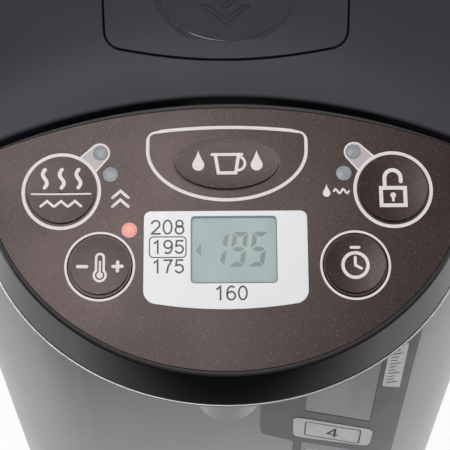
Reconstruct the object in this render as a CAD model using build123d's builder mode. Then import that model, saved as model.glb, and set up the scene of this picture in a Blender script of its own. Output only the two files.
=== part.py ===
"""Electric thermo pot, 4 litre: a tall pot with a heated inner vessel, a pump and a spout.

Frame: millimetres, +Z up, the pot's front faces -Y, origin on the table under the middle.
"""
from build123d import *
import os
from math import cos, radians, sin, sqrt, tan

os.makedirs("parts", exist_ok=True)

# ---------------------------------------------------------------- driving dimensions
# body plan: a D shape, round at the rear and flat at the front with round corners
body_half_width = 104.5
body_front_y = -100.0
body_corner_radius = 48.0
pot_axis_y = 22.0
body_taper = 0.026            # inward lean of the wall per millimetre downward
sleeve_wall = 0.8
sleeve_bottom_z = 34.0
sleeve_top_z = 284.0

# clearances
running_gap = 0.06            # radial, shaft in bearing
moving_gap = 0.35             # between different moving bodies
seat_gap = 0.1                # between fixed pieces that slip into each other

# swivel base
foot_height = 3.0
foot_radius = 7.0
foot_circle_radius = 72.0
foot_count = 6
base_radius = 85.0
base_thickness = 6.0
base_edge_fillet = 2.5
track_radius = 62.0
track_width = 6.0
track_height = 2.2
swivel_axis_y = 4.0
hub_radius = 12.0
retainer_radius = 18.0
retainer_thickness = 1.5

# bottom cover and chassis
cover_floor = 2.5
cover_wall = 2.2
cover_edge_fillet = 2.0
lip_wall = 2.0
chassis_z = 40.0
chassis_thickness = 1.5
chassis_opening_radius = 24.0
boss_radius = 5.0
boss_screw_radius = 1.6
boss_x = 62.0
boss_front_y = -48.0
boss_rear_y = 74.0
screw_head_radius = 3.6
screw_head_height = 2.2
cover_slot_y = 88.0
cover_slot_pitch = 8.0
cover_slot_count = 7
cover_slot_length = 16.0
cover_slot_width = 3.0

# inner vessel
vessel_radius = body_half_width - 22.5
vessel_wall = 0.8
vessel_floor_z = 66.0
vessel_rim_z = 268.0
vessel_flange = 6.0
vessel_floor_fillet = 9.0
outlet_x = -20.0
outlet_y = -36.0
outlet_radius = 6.0
outlet_bore = 4.8
outlet_bottom_z = 60.8
strainer_height = 6.0
strainer_flange = 3.0
strainer_wall = 0.8
strainer_hole_radius = 0.8
strainer_hole_pitch = 3.0
jacket_wall = 6.0
jacket_gap = 0.2
jacket_bottom_z = 82.0
jacket_top_z = 258.0

# upper housing, mouth and rear hinge shoulder
housing_inset = 5.5
housing_wall = 3.0
housing_flange = 3.0
rim_z = 304.0
deck_thickness = 4.0
mouth_radius = body_half_width - 32.5
mouth_flare = 2.0
mouth_flare_z = 296.0
mouth_wall = 2.5
collar_ledge = 3.0
gasket_height = 3.0
hinge_y = pot_axis_y + body_half_width - 18.5
hinge_z = 312.0
hinge_pin_radius = 2.5
hinge_pin_half_length = 38.0
shoulder_radius = 9.7
knuckle_x = 29.0
knuckle_width = 10.0
knuckle_radius = 6.4

# control panel plane: it slopes down to the front
panel_y = -97.0
panel_z = 296.0
panel_slope = 25.0
panel_half_width = body_half_width - 21.6
panel_corner_v = 29.6         # where the straight-on widest points lie, up the slope
panel_reach = 74.2            # from the widest points to the front edge, down the slope
sheet_thickness = 0.8
sheet_border = 1.5
sheet_rear_v = 45.8
beak_rear_v = 47.5
beak_depth = 19.0
beak_flare = 3.1              # how far the beak's wall spreads sideways over its depth
beak_tuck = 0.9               # how far the beak's front wall draws back over its depth
beak_rim_fillet = 1.3
beak_rear_fillet = 0.3
beak_wall = 2.5
beak_top_wall = 2.0
lid_front_gap = 2.6

# keys on the panel: across, up the slope, ring radius
round_keys = {
    "reboil_key": (-55.1, 16.9, 13.2),
    "unlock_key": (55.1, 16.9, 13.2),
    "temperature_key": (-41.8, -8.6, 11.6),
    "timer_key": (41.8, -8.6, 11.6),
}
key_ring_inset = 1.2
key_gap = 0.35
key_proud = 0.2
key_travel = 0.8
key_flange = 1.5
key_flange_thickness = 1.2
key_dish_depth = 0.5
key_dish_margin = 0.5
crease_depth = 0.9
crease_width = 0.55
crease_inset = 0.15
key_stem_radius = 3.0
dispense_half_width = 27.1
dispense_waist_v = 31.0
dispense_drop = 17.9
dispense_top_v = 37.6
dispense_top_arch = 1.8
dispense_dish_v = 26.0
dispense_dish_axes = (25.2, 13.2, 1.5)
dispense_dish_depth = 0.45
dispense_crease_axes = (17.3, 9.0)
dispense_corner = 3.0

# lamps: across, up the slope, radius
lamps = (
    (-42.3, 30.0, 2.3),
    (42.3, 30.0, 2.3),
    (-38.9, 22.6, 2.55),
    (38.9, 22.6, 2.55),
    (-32.3, 3.5, 2.6),
)
lamp_gap = 0.05

# display
plate_x = -0.6
plate_half_width = 26.9
plate_top_v = 9.8
plate_side_v = -20.5
plate_bottom_v = -23.0
plate_proud = 0.3
plate_corner = 2.3
plate_bottom_corner = 4.5
window_x = 2.1
window_v = -3.2
window_width = 27.9
window_height = 22.2
window_ledge = 1.0
window_recess = 0.4
module_margin = 3.0
module_depth = 5.5
board_depth = 9.0
board_thickness = 1.4
board_half_width = panel_half_width - 10.9
board_reach = 61.0
board_rear_v = 37.0
switch_size = 6.0
switch_height = 2.6
plunger_radius = 1.7
plunger_height = 0.4

# spout
spout_y = -117.3
spout_radius = 12.0
spout_top_radius = 13.5
spout_tip_z = 233.0
spout_skirt = 2.0
spout_skirt_depth = 12.0
pipe_radius = 2.8
pipe_bore = 2.0
pipe_depth = 13.7
pipe_bend = 6.5
pipe_hole_gap = 1.0

# water gauge
gauge_x = 45.0
gauge_y = -83.5
gauge_tube_radius = 6.0
gauge_tube_bore = 4.8
gauge_tube_bottom_z = 66.0
gauge_tube_top_z = 256.0
gauge_seal_radius = 9.0
gauge_seal_height = 8.0
bezel_proud = 1.4
bezel_left_x = 13.5
bezel_neck_x = 28.0
bezel_right_x = 71.0
bezel_step_z = 165.0
bezel_bottom_z = 62.0
bezel_corner = 5.0
lens_left_x = 31.0
lens_right_x = 58.5
lens_bottom_z = 76.0
lens_top_z = 262.0
lens_flange = 2.0
lens_recess = 0.2
bar_left_z = 185.0
bar_right_z = 175.0
bar_height = 28.0

# tip-over valve
valve_bottom_z = 258.0
valve_radius = 10.0
valve_height = 22.0
valve_wall = 1.6
ball_radius = 4.5
valve_seat_radius = 3.3

# lid
lid_inset = 7.0
lid_gap = 0.3
lid_wall = 2.5
lid_edge_fillet = 1.2
lid_rear_gap = 0.5
lid_crown_side_x = body_half_width - 4.5
lid_crown_points = (
    # y and z in the middle, then y and z at the side
    (-64.0, 306.5, -86.0, 299.5),
    (-52.0, 316.9, -73.0, 307.2),
    (-40.0, 325.0, -58.0, 313.8),
    (-20.0, 332.4, -34.0, 319.8),
    (15.0, 337.0, 15.0, 324.0),
    (60.0, 335.0, 60.0, 322.0),
    (98.0, 328.5, 98.0, 316.5),
    (112.0, 325.0, 112.0, 314.0),
)
lid_front_radius = 222.9
lid_base_thickness = 2.5
plug_radius = mouth_radius - 3.4
plug_bottom_z = 291.0
inner_lid_radius = mouth_radius - 2.5
inner_lid_wall = 0.8
inner_lid_z = 290.2
inner_lid_height = 9.0
lid_gasket_radius = mouth_radius - 0.6
lid_gasket_z = 293.5
lid_gasket_height = 4.0
vent_y = 62.0
vent_radius = 16.0
vent_duct_radius = 9.0
vent_duct_wall = 1.6
vent_cap_thickness = 2.5
vent_slot_width = 2.2
vent_slot_length = 9.8
vent_slot_count = 3

# lid lever and latch
lever_rear_y = 14.0
lever_rear_half_width = 45.1
lever_front_half_width = 41.1
lever_corner_y = -36.0
lever_front_y = -41.0
lever_corner_radius = 7.0
lever_thickness = 5.0
lever_gap = 0.7
lever_dent_y = -17.0
lever_dent_z = 331.3
lever_dent_tilt = 13.5
lever_dent_half_width = 24.6
lever_dent_half_length = 20.0
lever_dent_step_width = 1.6
lever_dent_step = 0.45
lever_pin_y = 9.0
lever_pin_z = 327.5
lever_pin_radius = 1.5
lever_lug_x = 38.0
lever_lug_width = 8.0
lever_lug_radius = 4.0
carrier_lug_rise = 5.5
carrier_lug_x = 49.2
carrier_lug_width = 5.0
latch_half_width = 14.0
latch_bottom_z = 307.3
latch_height = 5.0
latch_length = 34.0
latch_nose_gap = 0.35
rail_width = 3.0
rail_front = 7.1
rail_rear = 29.1

# carry handle
handle_thickness = 4.7
handle_bottom_z = 288.5
handle_height = 13.0
handle_edge_fillet = 1.5
handle_pivot_y = 0.0
handle_pin_radius = 4.0
handle_pin_head = 5.4
handle_pin_head_depth = 1.5
grip_half_angle = 30.0
grip_thickness = 6.5
grip_rise = 2.5

# heater, drive and power
heater_radius = vessel_radius - 34.0
heater_thickness = 3.0
heater_tab_y = 20.0
heater_tab_width = 4.0
heater_tab_thickness = 0.8
heater_tab_length = 5.0
clamp_inset = 4.0
clamp_width = 9.0
clamp_thickness = 1.6
thermistor_radius = 3.5
thermistor_height = 12.0
fuse_radius = 2.5
fuse_length = 12.0
pump_radius = 22.0
pump_height = 11.0
pump_wall = 2.0
pump_cover_thickness = 2.2
impeller_radius = 15.0
impeller_hub_radius = 4.0
impeller_blades = 6
spindle_radius = 1.5
hose_radius = 6.0
hose_bore = 4.1
hose_bend = 13.0
hose_rise = 0.4                # hose over the chassis plate
motor_radius = 15.0
motor_top_z = 35.4
motor_height = 18.0
motor_shaft_radius = 1.5
magnet_radius = 12.0
magnet_height = 2.6
board_length = 84.0
board_width = 30.0
power_board_y = pot_axis_y + body_half_width - 40.5
power_board_z = 47.0
standoff_radius = 3.0
standoff_edge = 4.0
power_parts = (
    # across, length, width, height above the board
    (-30.0, 14.0, 18.0, 11.0),
    (-10.0, 18.0, 22.0, 10.0),
    (12.0, 10.0, 20.0, 8.0),
    (31.0, 14.0, 12.0, 11.0),
)
receptacle_width = 44.0
receptacle_height = 26.0
receptacle_z = 64.0
receptacle_depth = 14.0
pocket_width = 34.0
pocket_height = 16.0
pocket_floor_y = pot_axis_y + body_half_width - 14.5
pin_reach = 3.0
pin_tail = 5.4
pin_radius = 2.0
pin_spacing = 16.0

# ---------------------------------------------------------------- derived values
base_bottom_z = foot_height
base_top_z = base_bottom_z + base_thickness
cover_bottom_z = base_top_z + track_height + 0.3
cover_floor_z = cover_bottom_z + cover_floor
hub_top_z = cover_floor_z + 0.3
deck_bottom_z = rim_z - deck_thickness
pump_bottom_z = chassis_z + chassis_thickness
panel_cos = cos(radians(panel_slope))
panel_sin = sin(radians(panel_slope))
panel_tan = tan(radians(panel_slope))
panel_plane = Plane(origin=(0, panel_y, panel_z), x_dir=(1, 0, 0),
                    z_dir=(0, -panel_sin, panel_cos))
beak_front_y = panel_y + (panel_corner_v - panel_reach) * panel_cos
handle_arc_y = -beak_front_y - body_half_width
lid_front_y = panel_y + (beak_rear_v + lid_front_gap) * panel_cos
lid_bottom_z = rim_z + lid_gap
lid_rear_y = hinge_y - shoulder_radius - lid_rear_gap
vessel_outer = vessel_radius + vessel_wall
key_base_depth = sheet_thickness + beak_top_wall
handle_inner = body_half_width - handle_thickness
handle_pivot_z = handle_bottom_z + handle_height / 2
lid_high_z = max(point[1] for point in lid_crown_points) + 8


def under_panel(depth):
    """Plane parallel to the control panel, depth below its face."""
    return panel_plane.offset(-depth)


def taper_inset(z):
    """How far the body wall stands inside its top outline at height z."""
    return body_taper * (sleeve_top_z - z)


def pot_section(plane, inset):
    """D-shaped plan outline, moved inward by inset, as a face on plane."""
    half = body_half_width - inset
    front = body_front_y + inset
    corner = body_corner_radius - inset
    corner_x = half - corner
    corner_y = front + corner
    with BuildSketch(plane) as section:
        with BuildLine():
            CenterArc((0, pot_axis_y), half, 0, 180)
            Line((-half, pot_axis_y), (-half, corner_y))
            CenterArc((-corner_x, corner_y), corner, 180, 90)
            Line((-corner_x, front), (corner_x, front))
            CenterArc((corner_x, corner_y), corner, -90, 90)
            Line((half, corner_y), (half, pot_axis_y))
        make_face()
    return section.sketch


def tapered_body(low_z, high_z, inset, mode=Mode.ADD):
    """Solid that follows the tapered body wall, inset from its outer surface."""
    loft([pot_section(Plane.XY.offset(z), inset + taper_inset(z)) for z in (low_z, high_z)],
         ruled=True, mode=mode)


def straight_body(low_z, high_z, inset, mode=Mode.ADD):
    """Upright solid on the D-shaped outline."""
    extrude(pot_section(Plane.XY.offset(low_z), inset), amount=high_z - low_z, mode=mode)


def disc(x, y, low_z, high_z, radius, mode=Mode.ADD):
    """Upright cylinder between two heights."""
    with Locations((x, y, low_z)):
        Cylinder(radius, high_z - low_z, align=(Align.CENTER, Align.CENTER, Align.MIN),
                 mode=mode)


def block(low, high, mode=Mode.ADD):
    """Box between two corners."""
    size = [high[i] - low[i] for i in range(3)]
    with Locations(low):
        Box(*size, align=(Align.MIN, Align.MIN, Align.MIN), mode=mode)


def cross_rod(x_low, x_high, y, z, radius, mode=Mode.ADD):
    """Cylinder along X between two places."""
    with BuildSketch(Plane.YZ.offset(x_low)) as section:
        with Locations((y, z)):
            Circle(radius)
    extrude(section.sketch, amount=x_high - x_low, mode=mode)


def beak_section(depth, inset):
    """Beak's outline on the plane that lies depth below the panel's face."""
    half = panel_half_width + beak_flare * depth / beak_depth - inset
    centre_v = panel_corner_v - depth * panel_tan
    reach = panel_reach - beak_tuck * depth / beak_depth - inset
    rear_v = beak_rear_v - depth * panel_tan - inset
    with BuildSketch(under_panel(depth)) as section:
        with BuildLine():
            EllipticalCenterArc((0, centre_v), half, reach, 180, arc_size=180)
            ThreePointArc((half, centre_v), (0, rear_v), (-half, centre_v))
        make_face()
    return section.sketch


def beak_body(high_depth, low_depth, inset, mode=Mode.ADD):
    """Solid inside the beak's wall, between two depths below the panel's face."""
    loft([beak_section(depth, inset) for depth in (high_depth, low_depth)],
         ruled=True, mode=mode)


def sheet_section(depth):
    """Outline of the panel sheet: the beak's outline less a thin border."""
    with BuildSketch(under_panel(depth)) as section:
        with BuildLine():
            EllipticalCenterArc((0, panel_corner_v), panel_half_width - sheet_border,
                                panel_reach - sheet_border, 180, arc_size=180)
            ThreePointArc((panel_half_width - sheet_border, panel_corner_v),
                          (0, sheet_rear_v), (sheet_border - panel_half_width, panel_corner_v))
        make_face()
    return section.sketch


def dispense_section(depth, inset):
    """Outline of the dispense key: arched top, straight sides and a round bowl below."""
    half = dispense_half_width - inset
    top = dispense_top_v - inset
    with BuildSketch(under_panel(depth)) as section:
        with BuildLine():
            EllipticalCenterArc((0, dispense_waist_v), half, dispense_drop - inset, 180, arc_size=180)
            Line((half, dispense_waist_v), (half, top))
            ThreePointArc((half, top), (0, top + dispense_top_arch), (-half, top))
            Line((-half, top), (-half, dispense_waist_v))
        make_face()
        fillet(section.vertices().group_by(Axis.Y)[-1], dispense_corner - inset)
    return section.sketch


def plate_section(depth):
    """Outline of the display surround: straight top and sides, bowed bottom."""
    left = plate_x - plate_half_width
    right = plate_x + plate_half_width
    with BuildSketch(under_panel(depth)) as section:
        with BuildLine():
            Line((left, plate_top_v), (right, plate_top_v))
            Line((right, plate_top_v), (right, plate_side_v))
            ThreePointArc((right, plate_side_v), (plate_x, plate_bottom_v), (left, plate_side_v))
            Line((left, plate_side_v), (left, plate_top_v))
        make_face()
        fillet(section.vertices().group_by(Axis.Y)[-1], plate_corner)
        fillet(section.vertices().group_by(Axis.Y)[0], plate_bottom_corner)
    return section.sketch


def window_section(depth, inset):
    """Outline of the display window."""
    with BuildSketch(under_panel(depth)) as section:
        with Locations((window_x, window_v)):
            Rectangle(window_width - 2 * inset, window_height - 2 * inset)
    return section.sketch


def openings_section(depth, key_margin, lamp_margin):
    """The openings that a panel layer has for the keys and lamps."""
    with BuildSketch(under_panel(depth)) as section:
        for across, up_slope, radius in round_keys.values():
            with Locations((across, up_slope)):
                Circle(radius - key_ring_inset + key_margin)
        for across, up_slope, radius in lamps:
            with Locations((across, up_slope)):
                Circle(radius + lamp_margin)
    return section.sketch


def cut_openings(high_depth, low_depth, key_margin):
    """Cut the openings for keys and lamps through a panel layer."""
    thickness = low_depth - high_depth
    extrude(openings_section(low_depth, key_margin, lamp_gap), amount=thickness,
            mode=Mode.SUBTRACT)
    extrude(dispense_section(low_depth, key_ring_inset - key_margin), amount=thickness,
            mode=Mode.SUBTRACT)


def lid_crown(drop, mode):
    """Solid below the lid's crowned top surface, lowered by drop."""
    floor_z = lid_bottom_z - 20
    sections = []
    for x in (-lid_crown_side_x, 0, lid_crown_side_x):
        side = abs(x) / lid_crown_side_x
        curve = [(mid_y + (side_y - mid_y) * side, mid_z + (side_z - mid_z) * side - drop)
                 for mid_y, mid_z, side_y, side_z in lid_crown_points]
        first, last = curve[0], curve[-1]
        with BuildSketch(Plane.YZ.offset(x)) as section:
            with BuildLine():
                Spline(*curve)
                Line(last, (last[0], floor_z))
                Line((last[0], floor_z), (first[0], floor_z))
                Line((first[0], floor_z), first)
            make_face()
        sections.append(section.sketch)
    loft(sections, mode=mode)


def lid_column(inset, low_z, high_z, mode=Mode.ADD):
    """Upright solid on the lid's outline: the D shape, straight behind, hollow in front."""
    front = lid_front_y + inset
    rear = lid_rear_y - inset
    with BuildSketch(Plane.XY.offset(low_z)) as section:
        add(pot_section(Plane.XY, lid_inset + inset))
        with Locations((0, front - lid_front_radius)):
            Circle(lid_front_radius, mode=Mode.SUBTRACT)
        with Locations((0, rear + body_half_width)):
            Rectangle(4 * body_half_width, 2 * body_half_width, mode=Mode.SUBTRACT)
    extrude(section.sketch, amount=high_z - low_z, mode=mode)


def lever_column(grow, low_z, high_z, mode=Mode.ADD):
    """Upright solid on the lid lever's plan outline, grown outward by grow."""
    rear = lever_rear_y + grow
    corner = lever_corner_y - grow
    rear_half = lever_rear_half_width + grow
    front_half = lever_front_half_width + grow
    with BuildSketch(Plane.XY.offset(low_z)) as section:
        with BuildLine():
            Line((-rear_half, rear), (rear_half, rear))
            Line((rear_half, rear), (front_half, corner))
            ThreePointArc((front_half, corner), (0, lever_front_y - grow),
                          (-front_half, corner))
            Line((-front_half, corner), (-rear_half, rear))
        make_face()
        fillet(section.vertices().group_by(Axis.Y)[0], lever_corner_radius + grow)
    extrude(section.sketch, amount=high_z - low_z, mode=mode)


def gauge_windows(inset):
    """The gauge's two windows, above and below its slanted cross bar, seen from the front."""
    left = lens_left_x + inset
    right = lens_right_x - inset
    top = lens_top_z - inset
    bottom = lens_bottom_z + inset
    with BuildSketch(Plane.XZ.offset(pot_axis_y)) as section:
        with BuildLine():
            Polyline((left, top), (right, top), (right, bar_right_z + inset),
                     (left, bar_left_z + inset), close=True)
        make_face()
        with BuildLine():
            Polyline((left, bottom), (right, bottom), (right, bar_right_z - bar_height - inset),
                     (left, bar_left_z - bar_height - inset), close=True)
        make_face()
    return section.sketch


def export(part, label):
    """Label a finished piece and write its STEP file."""
    part.label = label
    export_step(part, f"parts/{label}.step")


# ---------------------------------------------------------------- swivel base
with BuildPart() as base_feet:
    with Locations((0, swivel_axis_y, 0)):
        with PolarLocations(foot_circle_radius, foot_count):
            Cylinder(foot_radius, foot_height, align=(Align.CENTER, Align.CENTER, Align.MIN))
export(base_feet.part, "base_feet")

with BuildPart() as swivel_base:
    disc(0, swivel_axis_y, base_bottom_z, base_top_z, base_radius)
    fillet(swivel_base.edges().filter_by(GeomType.CIRCLE).group_by(Axis.Z)[-1],
           base_edge_fillet)
    disc(0, swivel_axis_y, base_top_z, base_top_z + track_height, track_radius + track_width / 2)
    disc(0, swivel_axis_y, base_top_z, base_top_z + track_height, track_radius - track_width / 2,
         Mode.SUBTRACT)
    disc(0, swivel_axis_y, base_top_z, hub_top_z, hub_radius)
    disc(0, swivel_axis_y, base_bottom_z, hub_top_z, boss_screw_radius, Mode.SUBTRACT)
export(swivel_base.part, "swivel_base")

with BuildPart() as swivel_screw:
    head_z = hub_top_z + retainer_thickness
    disc(0, swivel_axis_y, base_bottom_z, hub_top_z, boss_screw_radius)
    disc(0, swivel_axis_y, hub_top_z, head_z, retainer_radius)
    disc(0, swivel_axis_y, head_z, head_z + screw_head_height, screw_head_radius)
export(swivel_screw.part, "swivel_screw")

# ---------------------------------------------------------------- casing, lower part
boss_places = [(x, y) for x in (-boss_x, boss_x) for y in (boss_front_y, boss_rear_y)]

with BuildPart() as bottom_cover:
    tapered_body(cover_bottom_z, sleeve_bottom_z, 0)
    fillet(bottom_cover.faces().sort_by(Axis.Z)[0].edges(), cover_edge_fillet)
    tapered_body(cover_floor_z, sleeve_bottom_z, cover_wall, Mode.SUBTRACT)
    tapered_body(sleeve_bottom_z - cover_wall, chassis_z, sleeve_wall + seat_gap)
    tapered_body(sleeve_bottom_z - cover_wall - 1, chassis_z, sleeve_wall + seat_gap + lip_wall,
                 Mode.SUBTRACT)
    for boss_place in boss_places:
        disc(*boss_place, cover_bottom_z, chassis_z, boss_radius)
        disc(*boss_place, cover_bottom_z, chassis_z, boss_screw_radius, Mode.SUBTRACT)
        disc(*boss_place, cover_bottom_z, cover_bottom_z + screw_head_height + 0.8,
             screw_head_radius + seat_gap, Mode.SUBTRACT)
    disc(0, swivel_axis_y, cover_bottom_z, cover_floor_z, hub_radius + running_gap,
         Mode.SUBTRACT)
    with BuildSketch(Plane.XY.offset(cover_bottom_z)):
        with Locations((0, cover_slot_y)):
            with GridLocations(cover_slot_pitch, 0, cover_slot_count, 1):
                SlotOverall(cover_slot_length, cover_slot_width, rotation=90)
    extrude(amount=cover_floor, mode=Mode.SUBTRACT)
export(bottom_cover.part, "bottom_cover")

with BuildPart() as bottom_screws:
    for boss_place in boss_places:
        head_z = cover_bottom_z + 0.8
        disc(*boss_place, head_z, head_z + screw_head_height, screw_head_radius)
        disc(*boss_place, head_z, chassis_z + chassis_thickness, boss_screw_radius)
export(bottom_screws.part, "bottom_screws")

with BuildPart() as outer_sleeve:
    tapered_body(sleeve_bottom_z, sleeve_top_z, 0)
    tapered_body(sleeve_bottom_z, sleeve_top_z, sleeve_wall, Mode.SUBTRACT)
    beak_body(0, beak_depth + seat_gap, -seat_gap, Mode.SUBTRACT)
    with BuildSketch(Plane.XZ.offset(-gauge_y)):
        with Locations(((lens_left_x + lens_right_x) / 2, (lens_bottom_z + lens_top_z) / 2)):
            Rectangle(lens_right_x - lens_left_x, lens_top_z - lens_bottom_z)
    extrude(amount=-body_front_y, mode=Mode.SUBTRACT)
    block((-receptacle_width / 2 - seat_gap, pot_axis_y, receptacle_z - receptacle_height / 2
           - seat_gap),
          (receptacle_width / 2 + seat_gap, 2 * body_half_width,
           receptacle_z + receptacle_height / 2 + seat_gap), Mode.SUBTRACT)
export(outer_sleeve.part, "outer_sleeve")

with BuildPart() as chassis_plate:
    tapered_body(chassis_z, chassis_z + chassis_thickness, sleeve_wall + seat_gap)
    for boss_place in boss_places:
        disc(*boss_place, chassis_z, chassis_z + chassis_thickness, boss_screw_radius,
             Mode.SUBTRACT)
    disc(outlet_x, outlet_y, chassis_z, chassis_z + chassis_thickness, magnet_radius + 1.0,
         Mode.SUBTRACT)
    disc(0, pot_axis_y, chassis_z, chassis_z + chassis_thickness, chassis_opening_radius,
         Mode.SUBTRACT)
    with Locations((0, power_board_y, chassis_z)):
        with GridLocations(board_length - 2 * standoff_edge, board_width - 2 * standoff_edge, 2, 2):
            Cylinder(standoff_radius, power_board_z - chassis_z,
                     align=(Align.CENTER, Align.CENTER, Align.MIN))
export(chassis_plate.part, "chassis_plate")

# ---------------------------------------------------------------- inner vessel and heater
with BuildPart() as vessel_hollow:
    disc(0, pot_axis_y, vessel_floor_z, vessel_rim_z + 1, vessel_radius)
    fillet(vessel_hollow.edges().filter_by(GeomType.CIRCLE).group_by(Axis.Z)[0],
           vessel_floor_fillet)

with BuildPart() as inner_pot:
    disc(0, pot_axis_y, vessel_floor_z - vessel_wall, vessel_rim_z, vessel_outer)
    fillet(inner_pot.edges().filter_by(GeomType.CIRCLE).group_by(Axis.Z)[0],
           vessel_floor_fillet + vessel_wall)
    disc(0, pot_axis_y, vessel_rim_z - vessel_wall, vessel_rim_z, vessel_outer + vessel_flange)
    add(vessel_hollow.part, mode=Mode.SUBTRACT)
    disc(outlet_x, outlet_y, outlet_bottom_z, vessel_floor_z, outlet_radius)
    disc(outlet_x, outlet_y, outlet_bottom_z, vessel_floor_z, outlet_bore, Mode.SUBTRACT)
export(inner_pot.part, "inner_pot")

with BuildPart() as pot_gasket:
    gasket_top_z = vessel_rim_z + gasket_height
    disc(0, pot_axis_y, vessel_rim_z, gasket_top_z, vessel_outer + vessel_flange)
    disc(0, pot_axis_y, vessel_rim_z, gasket_top_z, vessel_radius - 2, Mode.SUBTRACT)
export(pot_gasket.part, "pot_gasket")

with BuildPart() as insulation_jacket:
    jacket_inner = vessel_outer + jacket_gap
    disc(0, pot_axis_y, jacket_bottom_z, jacket_top_z, jacket_inner + jacket_wall)
    disc(0, pot_axis_y, jacket_bottom_z, jacket_top_z, jacket_inner, Mode.SUBTRACT)
export(insulation_jacket.part, "insulation_jacket")

with BuildPart() as outlet_strainer:
    strainer_top_z = vessel_floor_z + strainer_height
    disc(outlet_x, outlet_y, vessel_floor_z, strainer_top_z, outlet_radius + strainer_flange)
    disc(outlet_x, outlet_y, vessel_floor_z - 1, strainer_top_z - strainer_wall,
         outlet_radius + strainer_flange - strainer_wall, Mode.SUBTRACT)
    with Locations((outlet_x, outlet_y, vessel_floor_z)):
        with GridLocations(strainer_hole_pitch, strainer_hole_pitch, 4, 4):
            Cylinder(strainer_hole_radius, 3 * strainer_height, mode=Mode.SUBTRACT)
export(outlet_strainer.part, "outlet_strainer")

heater_top_z = vessel_floor_z - vessel_wall
heater_bottom_z = heater_top_z - heater_thickness

with BuildPart() as heater_plate:
    disc(0, pot_axis_y, heater_bottom_z, heater_top_z, heater_radius)
    disc(0, pot_axis_y, heater_bottom_z, heater_top_z, thermistor_radius + seat_gap,
         Mode.SUBTRACT)
    for side in (-1, 1):
        tab_x = side * heater_radius / 2 - heater_tab_width / 2
        tab_y = pot_axis_y + heater_tab_y
        block((tab_x, tab_y, heater_bottom_z - heater_tab_length),
              (tab_x + heater_tab_width, tab_y + heater_tab_thickness, heater_bottom_z))
export(heater_plate.part, "heater_plate")

with BuildPart() as heater_clamp:
    clamp_top_z = heater_bottom_z
    clamp_low_z = clamp_top_z - clamp_thickness
    leg_foot_z = chassis_z + chassis_thickness
    disc(0, pot_axis_y, clamp_low_z, clamp_top_z, heater_radius - clamp_inset)
    disc(0, pot_axis_y, clamp_low_z, clamp_top_z, heater_radius - clamp_inset - clamp_width, Mode.SUBTRACT)
    with Locations((0, pot_axis_y, leg_foot_z)):
        with PolarLocations(heater_radius - clamp_inset - clamp_width / 2, 3, start_angle=90):
            Box(clamp_thickness * 2, clamp_width, clamp_low_z - leg_foot_z,
                align=(Align.CENTER, Align.CENTER, Align.MIN))
export(heater_clamp.part, "heater_clamp")

with BuildPart() as thermistor:
    disc(0, pot_axis_y, heater_top_z - thermistor_height, heater_top_z, thermistor_radius)
    disc(0, pot_axis_y, heater_bottom_z - 2, heater_bottom_z, thermistor_radius + 2)
export(thermistor.part, "thermistor")

with BuildPart() as thermal_fuse:
    fuse_y = pot_axis_y - heater_radius + 4 + clamp_width / 2
    cross_rod(-fuse_length / 2, fuse_length / 2, fuse_y, clamp_low_z - fuse_radius, fuse_radius)
export(thermal_fuse.part, "thermal_fuse")

# ---------------------------------------------------------------- pump and motor
pump_top_z = pump_bottom_z + pump_height
inlet_top_z = outlet_bottom_z - 0.6
delivery_z = pump_bottom_z + hose_radius + hose_rise

with BuildPart() as pump_body:
    disc(outlet_x, outlet_y, pump_bottom_z, pump_top_z, pump_radius)
    disc(outlet_x, outlet_y, pump_bottom_z + pump_wall, pump_top_z, pump_radius - pump_wall,
         Mode.SUBTRACT)
    disc(outlet_x, outlet_y, pump_bottom_z, pump_bottom_z + pump_height - 2, spindle_radius)
    stub_y = outlet_y - pump_radius + hose_bore + pump_wall
    cross_rod(outlet_x, outlet_x + pump_radius + 9, stub_y, delivery_z, hose_bore)
    disc(outlet_x, outlet_y, pump_bottom_z + pump_wall, pump_top_z, pump_radius - pump_wall,
         Mode.SUBTRACT)
    disc(outlet_x, outlet_y, pump_bottom_z, pump_bottom_z + pump_height - 2, spindle_radius)
    cross_rod(outlet_x, outlet_x + pump_radius + 9, stub_y, delivery_z, hose_bore - 1,
              Mode.SUBTRACT)
export(pump_body.part, "pump_body")

with BuildPart() as pump_cover:
    disc(outlet_x, outlet_y, pump_top_z, pump_top_z + pump_cover_thickness, pump_radius)
    disc(outlet_x, outlet_y, pump_top_z, inlet_top_z, outlet_radius)
    disc(outlet_x, outlet_y, pump_top_z, inlet_top_z, outlet_bore, Mode.SUBTRACT)
export(pump_cover.part, "pump_cover")

with BuildPart() as inlet_sleeve:
    sleeve_low_z = pump_top_z + pump_cover_thickness
    sleeve_high_z = outlet_bottom_z + 3.4
    disc(outlet_x, outlet_y, sleeve_low_z, sleeve_high_z, outlet_radius + 2)
    disc(outlet_x, outlet_y, sleeve_low_z, sleeve_high_z, outlet_radius, Mode.SUBTRACT)
export(inlet_sleeve.part, "inlet_sleeve")

with BuildPart() as pump_impeller:
    impeller_z = pump_bottom_z + pump_wall + moving_gap
    blade_top_z = pump_top_z - 1.2
    disc(outlet_x, outlet_y, impeller_z, impeller_z + 2, impeller_radius)
    disc(outlet_x, outlet_y, impeller_z, blade_top_z, impeller_hub_radius)
    with Locations((outlet_x, outlet_y, impeller_z + 2)):
        with PolarLocations(0, impeller_blades):
            Box(impeller_radius, 1.2, blade_top_z - impeller_z - 2,
                align=(Align.MIN, Align.CENTER, Align.MIN))
    disc(outlet_x, outlet_y, impeller_z, blade_top_z, spindle_radius + running_gap,
         Mode.SUBTRACT)
export(pump_impeller.part, "pump_impeller")

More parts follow.
